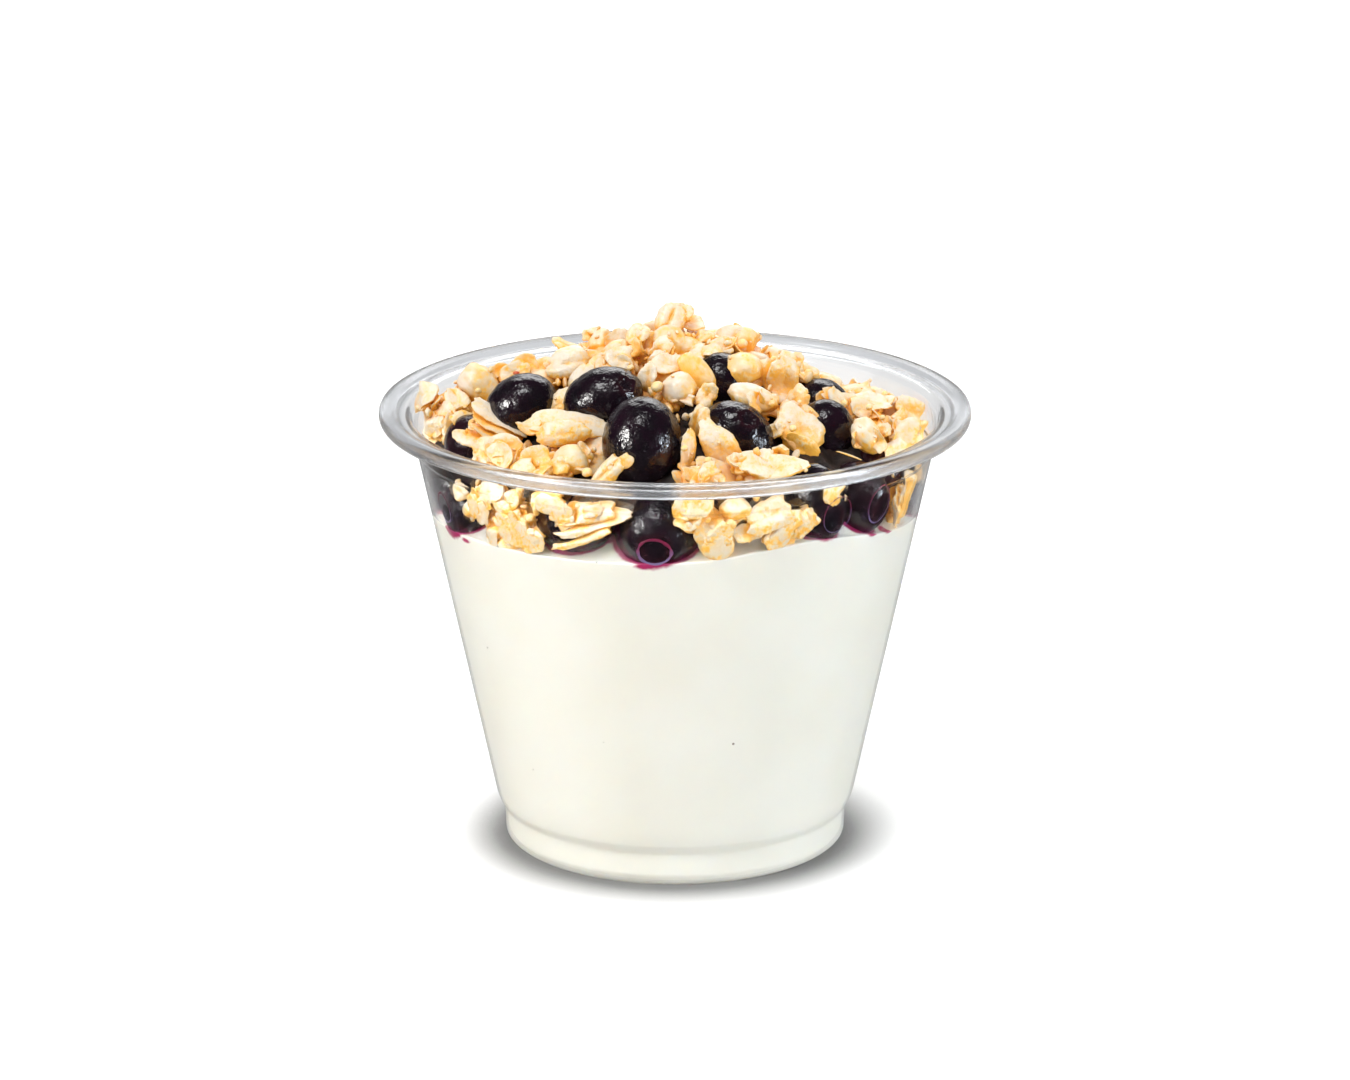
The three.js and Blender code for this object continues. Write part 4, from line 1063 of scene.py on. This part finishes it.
# flakes baked together; after the tip: how many
shownClusters = [
    ((-38, -3, 70.8), (5, 5), (50, 20, -60), 5),
    ((-34, -4, 70.6), (5, 4), (30, 0, -20), 5),
    ((-27, -24.4, 68.2), (6.4, 4.4), (50, 0, -30), 8),
    ((-20.4, -28.6, 68.2), (5, 4), (50, 0, -20), 6),
    ((-24.3, 0, 74.4), (3.6, 2.6), (60, 40, 0), 4),
    ((-20.3, 0, 74.8), (4, 2.6), (30, 0, 0), 4),
    ((-9, -7, 78), (5, 3.4), (50, 0, 0), 6),
    ((-5.5, -3, 79.6), (4, 5), (60, 40, 0), 6),
    ((1, 2.8, 83.4), (3, 3), (40, 0, 0), 3),
    ((3.4, -1, 80), (4, 4), (50, 0, 0), 6),
    ((-1, -10.8, 78.4), (4, 3), (60, 0, 0), 5),
    ((6, -3, 79.2), (5, 4), (50, 0, 0), 7),
    ((17, -5, 76.4), (5, 5), (60, -70, 0), 5),
    ((18.6, -15.4, 72.6), (4, 4), (60, -60, 0), 4),
    ((4.4, -34, 68.2), (5, 3), (60, 0, 5), 6),
    ((11.4, -31, 69), (6, 4), (50, 0, 10), 8),
    ((31, -2.5, 70.6), (9, 4), (25, -8, 0), 8),
    ((28.5, -7, 70.4), (6, 4), (40, -20, 0), 5),
    ((35.2, -9, 67.8), (5, 5), (60, 60, 30), 9),
    ((-28.6, -24.6, 61.4), (6, 6), (75, 60, -49), 10),
    ((-24.4, -28.4, 61.2), (7, 6), (75, 20, -41), 12),
    ((-25.4, -26.6, 57.6), (7, 5), (75, 60, -44), 11),
    ((-22, -30.2, 58.4), (5, 5), (75, 0, -36), 8),
    ((-18.4, -33, 64.4), (5, 4), (70, 0, -30), 7),
    ((-14.4, -35.2, 62.4), (8, 3), (70, 15, -21), 8),
    ((2.9, -37.6, 63.4), (4, 4), (75, 30, 4), 7),
    ((5.8, -36.8, 60.4), (4.6, 4), (75, 0, 8), 7),
    ((17, -33.4, 59.8), (8, 4.4), (70, 18, 27), 11),
    ((23.8, -30, 64.6), (4, 3), (60, 0, 38), 5),
    ((34.4, -15.6, 60), (8, 3.4), (80, 82, 65), 9),
]
# beads of millet: middle and width
shownBeads = [
    ((-22.6, -0.5, 75), 1.2), ((-27.6, -16, 71.4), 1.1), ((-13.2, -32.2, 68.2), 1.7),
    ((-10.9, -32.6, 67.8), 1.3), ((-2.7, -16.6, 77.2), 2.0), ((10.4, 0.8, 79.4), 1.7), ((14.6, -18, 75), 1.3),
    ((15.2, -5.6, 78.6), 1.2), ((18.5, -32.6, 68.8), 1.4), ((8.3, -37.6, 61.8), 1.9),
    ((12.4, -36.4, 61), 1.2), ((-18.8, -30.2, 68), 1.6), ((29.8, -9, 71.9), 1.1),
    ((31.8, -11, 70.8), 1.0), ((32.4, -3, 72.4), 1.0),
    ((33.4, -2, 71.8), 0.9), ((-15.5, -10.8, 76), 1.2), ((1.4, -32.4, 72), 1.1), ((5, -32, 70), 1.2),
    ((-29.4, -24, 61.6), 1.8), ((-21.6, -31.4, 61), 1.5), ((17.8, -25, 73), 1.2), ((-31, -14.4, 71), 1.1),
    ((6.4, -6.8, 78.8), 1.4), ((-6.8, -10, 78.4), 1.2), ((36, -8.4, 69.4), 1.3), ((26, -8.6, 72.4), 1.2),
]
# angles: degrees round from the front; reach: how far out; sink: how deep in the mound; give: how much that
# varies; clear: how far from the berries
scatterShape = {
    "seed": 11,
    "frontFlakes": {"count": 90, "angles": (-100, 100), "reach": 36.5, "sink": 3.0, "give": (-0.8, 1.2),
                    "clear": 0.6},
    "backFlakes": {"count": 230, "angles": (88, 272), "reach": 36.5, "sink": 1.3, "give": (-0.8, 1.2),
                   "clear": 0.6},
    "wallFlakes": {"count": 80, "angles": (92, 268), "out": 37.4, "heights": (57, 65), "clear": 0.2},
    "puffs": {"count": 70, "angles": (80, 280), "reach": 35, "sink": 1.2, "give": None, "clear": 1.6},
    "beads": {"count": 60, "angles": (80, 280), "reach": 36, "sink": 0.4, "give": None, "clear": 0.8},
    "crumbs": {"count": 700, "angles": (-180, 180), "reach": 36.8, "sink": 0, "give": (0.8, 3.4),
               "clear": 0.4},
    "backCrumbs": {"count": 900, "angles": (95, 265), "reach": 36.8, "sink": 0, "give": (0.8, 2.6),
                   "clear": 0.4},
}
# loose pieces don't stand before the first berries, for someone who looks down from the front at this angle
openSight = {"berries": 16, "rise": 17, "margin": 1.0}


def clearOfBerries(at, margin):
    # whether a place lies outside all berries, each grown by the margin
    for berry in berries:
        away = (np.asarray(at) - np.asarray(berry["at"])) / (np.asarray(berry["size"]) / 2 + margin)
        if (away ** 2).sum() < 1:
            return False
    return True


def hidesBerry(at):
    # whether a piece would lie between a berry and someone looking from the front
    rise = math.radians(openSight["rise"])
    sight = np.array([0, -math.cos(rise), math.sin(rise)])
    for berry in berries[:openSight["berries"]]:
        away = np.asarray(at) - np.asarray(berry["at"])
        along = away @ sight
        past = (away - along * sight) / (np.asarray(berry["size"]) / 2 + openSight["margin"])
        if along > 0 and (past ** 2).sum() < 1:
            return True
    return False


def openSpots(rng, kind):
    # numbered places on the mound, clear of the berries and of the view to them
    spots = scatterShape[kind]
    for k in range(spots["count"]):
        sink = spots["sink"] + (rng.uniform(*spots["give"]) if spots["give"] else 0)
        angle = rng.uniform(*spots["angles"])
        x, y, _ = onWall(angle, spots["reach"] * math.sqrt(rng.uniform(0.01, 1)), 0)
        at = np.array([x, y, float(moundTop(x, y)) - sink])
        if clearOfBerries(at, spots["clear"]) and (kind == "backCrumbs" or not hidesBerry(at)):
            yield k, at


def oatSize(rng, lengths, shares):
    # length and width, the width as a share of the length
    length = rng.uniform(*lengths)
    return (length, length * rng.uniform(*shares))


def lyingTip(at, rng, lean):
    # lays a piece along the mound's slope, with some freedom
    way = outward(at)
    turn = rng.uniform(0, 360)
    t = math.radians(turn)
    along = np.array([math.cos(t), math.sin(t), 0])
    rise = math.degrees(math.atan2(-(way @ along), way[2])) + rng.uniform(-lean, lean)
    across = np.array([-math.sin(t), math.cos(t), 0])
    roll = math.degrees(math.atan2(-(way @ across), way[2])) + rng.uniform(-lean, lean)
    return (roll, rise, turn)


coreShape = {
    "depth": 4.6,  # how far it lies under the mound's outline
    "radius": 32.2,
    "bulge": 3.4,
    "sideBulge": 2.6,  # more at both sides, where the near-black core, painted as shade, presses against the wall
    "most": 36.6,
    "lumps": {"share": 0.035, "size": 3.4, "height": 1.1, "heightSize": 3.0},
    "segments": 200,
    "foot": 54.0,
}


def sideShare(x, y, place, width):
    # 1 at both sides of the cup, falling to 0 round them; place and width in degrees
    fromFront = np.abs(np.degrees(np.arctan2(x, -y)))
    return np.exp(-((fromFront - place) / width) ** 2)


def buildCore():
    # the heap's own inside, painted near-black in the gaps as shade, lumpy like what lies on it
    segments, depth = coreShape["segments"], coreShape["depth"]
    spin = np.arange(segments) / segments * 2 * math.pi
    cos, sin = np.cos(spin), np.sin(spin)
    rows = []
    for r in (6, 16, 26, 31):
        x, y = r * cos, r * sin
        rows.append(np.stack([x, y, yogurtTop(x, y) - 0.6], -1))
    bulge = coreShape["bulge"] + coreShape["sideBulge"] * sideShare(cos, sin, 90, 17)
    for share in np.linspace(0.0, 1, 14):
        r = coreShape["radius"] + bulge * math.sin(share * math.pi / 2)
        x, y = r * cos, r * sin
        low, high = yogurtTop(x, y) - 0.2, moundTop(x, y) - depth - 0.6
        rows.append(np.stack([x, y, low + (high - low) * share], -1))
    for r in np.linspace(35, 1.5, 34):
        x, y = r * cos, r * sin
        rows.append(np.stack([x, y, moundTop(x, y) - depth], -1))
    body = np.concatenate(rows)
    lumps = coreShape["lumps"]
    pull = 1 + np.where(body[:, 2] > 57.5, lumps["share"], 0.0) * layeredNoise(body, lumps["size"], 2, 3)
    out = np.hypot(body[:, 0], body[:, 1])
    most = np.where(np.abs(body[:, 0]) > 33, innerRadius(body[:, 2]) - 0.5, coreShape["most"])
    body[:, :2] *= np.minimum(pull, most / np.maximum(out, 1))[:, None]
    # the near-black core, painted as shade, touches the wall at both sides
    out = np.hypot(body[:, 0], body[:, 1])
    side = sideShare(body[:, 0], body[:, 1], 92, 15)
    touch = smooth(0.4, 0.75, side) * smooth(32, 34, out) * (1 - smooth(61, 64.5, body[:, 2]))
    body[:, :2] *= (1 + touch * ((innerRadius(body[:, 2]) + 0.1) / np.maximum(out, 1) - 1))[:, None]
    rough = lumps["height"] * layeredNoise(body, lumps["heightSize"], 6, 3)
    body[:, 2] += np.where(body[:, 2] > 60, rough, 0)
    top = float(moundTop(0.0, 0.0)) - depth
    points = np.concatenate([body, [[0, 0, coreShape["foot"]], [0, 0, top]]])
    for berry in berries:
        # nothing of the core stands in a berry
        middle, half = np.asarray(berry["at"]), np.asarray(berry["size"]) / 2
        share = np.sqrt((((points - middle) / (half - 0.3)) ** 2).sum(1))
        inside = (share < 1) & (points[:, 2] > 58)
        points[inside, 2] -= (1 - share[inside]) * half[2] * 0.9
    quads, tris = ringFaces(len(rows), segments), capFaces(len(rows), segments)
    values = {"back": smooth(4, 12, points[:, 1])}
    core = makeObject("granolaCore", points, quads, tris, values, granolaInside())
    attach(core, "root")
    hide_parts("granola")


def shownGranola(flakes, bits, puffs, beads, crumbs, dots):
    for i, (at, size) in enumerate(shownDots):
        puffPiece(dots, at, size, (0, 0, 0), 800 + i, 0.05, "dot")
    for i, (at, size, tip, *more) in enumerate(shownFlakes):
        flakePiece(flakes, at, size, tip, 100 + i, crumbs=crumbs, **dict(*more))
    for i, (at, size, tip, count, gap, step) in enumerate(shownStacks):
        stackPiece(flakes, crumbs, at, size, tip, 400 + i, count, gap, step)
    for i, (at, size, tip, *more) in enumerate(shownPuffs):
        puffPiece(puffs, at, size, tip, 300 + i, **dict(*more))
        if len(size) == 2:
            stuckOn(bits, crumbs, at, size, 900 + i)
    for i, (at, size, tip, count) in enumerate(shownClusters):
        clusterPiece(bits, crumbs, np.asarray(at, float), size, tip, 500 + i, count)
    for i, (at, size) in enumerate(shownBeads):
        beadPiece(beads, at, size, 20, 700 + i)


def scatteredGranola(loose, puffs, beads, crumbs):
    rng = np.random.default_rng(scatterShape["seed"])
    for kind in ("frontFlakes", "backFlakes"):
        for k, at in openSpots(rng, kind):
            size = oatSize(rng, (4.5, 8.5), (0.5, 0.72))
            tip = lyingTip(at, rng, 35)
            flakePiece(loose, at, size, tip, 1000 + loose.count + k, detail="plain", crumbs=crumbs)
    wall = scatterShape["wallFlakes"]
    for k in range(wall["count"]):
        angle = rng.uniform(*wall["angles"])
        at = np.array(onWall(angle, wall["out"], rng.uniform(*wall["heights"])))
        if clearOfBerries(at, wall["clear"]):
            size = oatSize(rng, (4.5, 7.5), (0.5, 0.72))
            tip = (75, rng.uniform(-80, 80), angle)
            flakePiece(loose, at, size, tip, 2000 + k, detail="plain", crumbs=crumbs)
    for k, at in openSpots(rng, "puffs"):
        size = oatSize(rng, (4.5, 7), (0.7, 0.95))
        puffPiece(puffs, at, size, rng.uniform(-60, 60, 3), 3000 + k, detail="plain")
    for k, at in openSpots(rng, "beads"):
        beadPiece(beads, at, rng.uniform(1.1, 2), 0, 4000 + k)
    for k, at in openSpots(rng, "crumbs"):
        crumbPiece(crumbs, at, rng.uniform(0.8, 2.4), 5000 + k)
    for k, at in openSpots(rng, "backCrumbs"):
        crumbPiece(crumbs, at, rng.uniform(1.4, 3.4), 7000 + k)


def buildGranola():
    flakes, loose, bits, puffs, beads, crumbs, dots = (Heap() for _ in range(7))
    shownGranola(flakes, bits, puffs, beads, crumbs, dots)
    scatteredGranola(loose, puffs, beads, crumbs)
    buildCore()
    heaps = (flakes, loose, bits, puffs, beads, crumbs)
    cells = filledCells(np.concatenate([p for heap in heaps for p in heap.points]), 0.9)
    for heap in heaps:
        for points, values in zip(heap.points, heap.values):
            # painted shade deep in the heap and where pieces crowd in front
            crowded = smooth(0.35, 1.0, crowding(points, cells))
            values["deep"] = np.clip(values["deep"] * 0.5 + 0.6 * crowded, 0, 0.95)
    pale, bead = granolaLook["pale"], granolaLook["bead"]
    kinds = (
        ("granolaFlakes", flakes, granolaCrust("oatFlake", pale, 0.6)),
        ("granolaLoose", loose, granolaCrust("looseFlake", pale, 0.6)),
        ("granolaBits", bits, granolaCrust("oatBit", pale, 0.6)),
        ("granolaPuffs", puffs, granolaCrust("puffedGrain", pale, 1.2)),
        ("granolaBeads", beads, granolaCrust("milletBead", bead, 0.7)),
        ("granolaCrumbs", crumbs, granolaCrust("granolaCrumb", pale, 0.6)),
        ("granolaDots", dots, driedFruit()),
    )
    for name, heap, material in kinds:
        made = heap.make(name, material)
        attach(made, "root")
        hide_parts("granola")
        print(name, sum(len(p.vertices) - 2 for p in made.data.polygons), "triangles")
    print("granola made")


# rings of juice where berries press the wall. angle: degrees round from the front; z: height;
# half: half width and half height
juiceRings = [
    {"angle": -4.6, "z": 57.6, "half": (2.5, 2.0), "thick": 0.20},
    {"angle": -65.5, "z": 58.0, "half": (2.0, 2.3), "thick": 0.09},
    {"angle": 38.5, "z": 61.2, "half": (2.6, 2.9), "thick": 0.05},
    {"angle": 52, "z": 61, "half": (2.5, 3.0), "thick": 0.08},
]
juiceLook = {"magenta": (0.20, 0.012, 0.05), "lilac": (0.20, 0.14, 0.30), "roughness": 0.3, "streaks": 1.4}


def juiceFilm():
    kit = newFinish("juiceFilm")
    streaky = kit.maths("SUBTRACT", kit.noise(juiceLook["streaks"]), 0.5)
    share = kit.plus(kit.carried("low"), streaky)
    colour = kit.ramp(share, (0.35, juiceLook["magenta"]), (0.75, juiceLook["lilac"]))
    kit.fill(kit.shader, {"Base Color": colour, "Roughness": juiceLook["roughness"]})
    return kit.owner


def buildJuice():
    # thin uneven lines of juice between berry and wall
    heap = Heap()
    turns, sides = 72, 6  # points round a ring, and round its line
    spin = np.arange(turns) / turns * 2 * math.pi
    for i, ring in enumerate(juiceRings):
        ringPlaces = np.stack([np.cos(spin) * 3, np.sin(spin) * 3, spin * 0 + i * 5.0], -1)
        uneven = 1 + 0.06 * latticeNoise(ringPlaces, 2.0, i)
        wide = ring["thick"] * (1 + 0.6 * latticeNoise(ringPlaces, 1.1, i + 7))
        rows = []
        for k in range(sides):
            turn = k / sides * 2 * math.pi
            grown = uneven + wide * math.cos(turn) / np.mean(ring["half"])
            z = ring["z"] + ring["half"][1] * np.sin(spin) * grown
            out = innerRadius(z) + 0.12 + 0.05 * math.sin(turn)
            angle = math.radians(ring["angle"]) + ring["half"][0] * np.cos(spin) * grown / out
            rows.append(np.stack([out * np.sin(angle), -out * np.cos(angle), z], -1))
        points = np.concatenate(rows + rows[:1])
        low = np.clip(0.5 - (points[:, 2] - ring["z"]) / ring["half"][1] / 2, 0, 1)
        heap.add(points, ringFaces(sides + 1, turns), np.zeros((0, 3), int), {"low": low})
    rings = heap.make("juiceRings", juiceFilm())
    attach(rings, "root")
    print("juice made")


studio = {
    "sun": {"power": 1.25, "spread": 22, "tilt": (20, -8)},
    "ambient": 0.82,
    "backdrop": 1.05,
    "reflected": (0.03, 0.95),  # glossy things see a dark room in front and the white backdrop behind
    "mirrored": 0.4,
    "throughClear": 0.3,
    "middle": (0, 0, 55),
}
# place and size in millimetres; lights: whether it lights matt things, and glossy ones
lamps = {
    "keyLight": {"place": (-420, -260, 400), "size": (260, 260), "watts": 1.1, "colour": (1.0, 0.985, 0.96),
                 "lights": (True, False)},
    "sideLight": {"place": (546, -234, 190), "size": (260, 300), "watts": 0.9, "colour": (0.94, 0.97, 1.0),
                  "lights": (True, False)},
    # small lamps that only glint on what is wet
    "leftGlint": {"place": (-450, -360, 290), "size": (160, 140), "watts": 2.8, "colour": (1.0, 0.98, 0.95),
                  "lights": (False, True)},
    "rightGlint": {"place": (570, -210, 60), "size": (130, 200), "watts": 2.2, "colour": (0.80, 0.90, 1.0),
                   "lights": (False, True)},
    "backLight": {"place": (60, 420, 380), "size": (400, 240), "watts": 1.0, "colour": (1, 1, 1),
                  "lights": (True, True)},
}
floorLook = {
    "width": 40,  # in metres
    "pale": ((0.93, 0.93, 0.93), (0.95, 0.95, 0.95)),
    "cloudSize": 60.0,
    # painted contact shadow round the foot, for the camera only: its reach, and where it starts, is full and
    # how much it counts
    "shade": {"colour": (0.12, 0.12, 0.12), "reach": 11, "grows": (0.97, 0.5, 0.9)},
    "roughness": 0.7,
}


def buildFloor():
    bpy.ops.mesh.primitive_plane_add(size=floorLook["width"], location=(0, 0, 0))
    floor = bpy.context.object
    floor.name = "floor"
    kit = newFinish("paleFloor")
    dull, bright = floorLook["pale"]
    shade = floorLook["shade"]
    pale = kit.ramp(kit.noise(floorLook["cloudSize"], 2.0), (0.3, dull), (0.7, bright))
    # painted contact shadow: the floor darkens where the cup hides it, for the camera only
    exposed = kit.add("AmbientOcclusion", {"Distance": shade["reach"] * mm}, samples=16).outputs["AO"]
    dark = kit.cause(exposed, *shade["grows"])
    seen = kit.times(dark, kit.add("LightPath").outputs["Is Camera Ray"])
    shaded = kit.blend(seen, pale, shade["colour"])
    kit.fill(kit.shader, {"Base Color": shaded, "Roughness": floorLook["roughness"]})
    floor.data.materials.append(kit.owner)
    floor.visible_glossy = False
    floor.visible_transmission = False


def buildLamp(name, lamp):
    data = bpy.data.lights.new(name, "AREA")
    data.shape = "RECTANGLE"
    data.size, data.size_y = (side * mm for side in lamp["size"])
    data.energy = lamp["watts"]
    data.color = lamp["colour"]
    light = newObject(name, data)
    light.visible_diffuse, light.visible_glossy = lamp["lights"]
    light.location = Vector(lamp["place"]) * mm
    away = Vector(studio["middle"]) - Vector(lamp["place"])
    light.rotation_euler = away.to_track_quat("-Z", "Y").to_euler()


def buildWorld():
    world = bpy.data.worlds.new("studioWorld")
    bpy.context.scene.world = world
    kit = NodeKit(world)
    light = kit.add("LightPath").outputs
    noDiffuse = kit.maths("LESS_THAN", light["Diffuse Depth"], 0.5)
    noGlossy = kit.maths("LESS_THAN", light["Glossy Depth"], 0.5)
    through = light["Is Transmission Ray"]
    shiny = kit.times(kit.maths("MAXIMUM", light["Is Glossy Ray"], through), noDiffuse)
    axes = kit.add("SeparateXYZ", {0: kit.add("TexCoord").outputs["Generated"]})
    room = kit.spread(axes.outputs["Y"], 0.55, 0.85, *studio["reflected"])
    # what is reflected is darker than what is seen through clear plastic
    room = kit.times(room, kit.maths("MAXIMUM", through, studio["mirrored"]))
    clear = kit.times(kit.times(through, noGlossy), studio["throughClear"])
    # ambient light first, then what shiny things see, then what the camera sees
    strength = studio["ambient"]
    seen = kit.maths("MAXIMUM", room, clear)
    for factor, value in ((shiny, seen), (light["Is Camera Ray"], studio["backdrop"])):
        strength = kit.add("Mix", {0: factor, 2: strength, 3: value}).outputs[0]
    kit.fill(kit.nodes["Background"], {"Strength": strength, "Color": (1, 1, 1)})


def buildStudio():
    buildWorld()
    for name, lamp in lamps.items():
        buildLamp(name, lamp)
    sky = studio["sun"]
    sun = bpy.data.lights.new("skyLight", "SUN")
    sun.energy, sun.angle = sky["power"], math.radians(sky["spread"])
    above = newObject("skyLight", sun)
    above.rotation_euler = (*map(math.radians, sky["tilt"]), 0)


cameraView = {
    "rise": 16.76,  # degrees above the horizon
    "distance": 924.0,
    "target": 47.9,
    "lens": 157.8,
    "sensor": 36,
    "clip": (0.05, 60),  # in metres
}


def buildCamera():
    rise = math.radians(cameraView["rise"])
    back = Vector((0, -math.cos(rise), math.sin(rise)))
    data = bpy.data.cameras.new("camera")
    data.lens = cameraView["lens"]
    data.sensor_width = cameraView["sensor"]
    data.clip_start, data.clip_end = cameraView["clip"]
    camera = newObject("camera", data)
    camera.location = (Vector((0, 0, cameraView["target"])) + back * cameraView["distance"]) * mm
    camera.rotation_euler = (-back).to_track_quat("-Z", "Y").to_euler()
    bpy.context.scene.camera = camera
    print("floor, lights and camera made")


buildCup()
buildYogurt()
buildBerries()
buildJuice()
buildGranola()
buildFloor()
buildStudio()
buildCamera()
bpy.context.scene.view_settings.view_transform = "Standard"
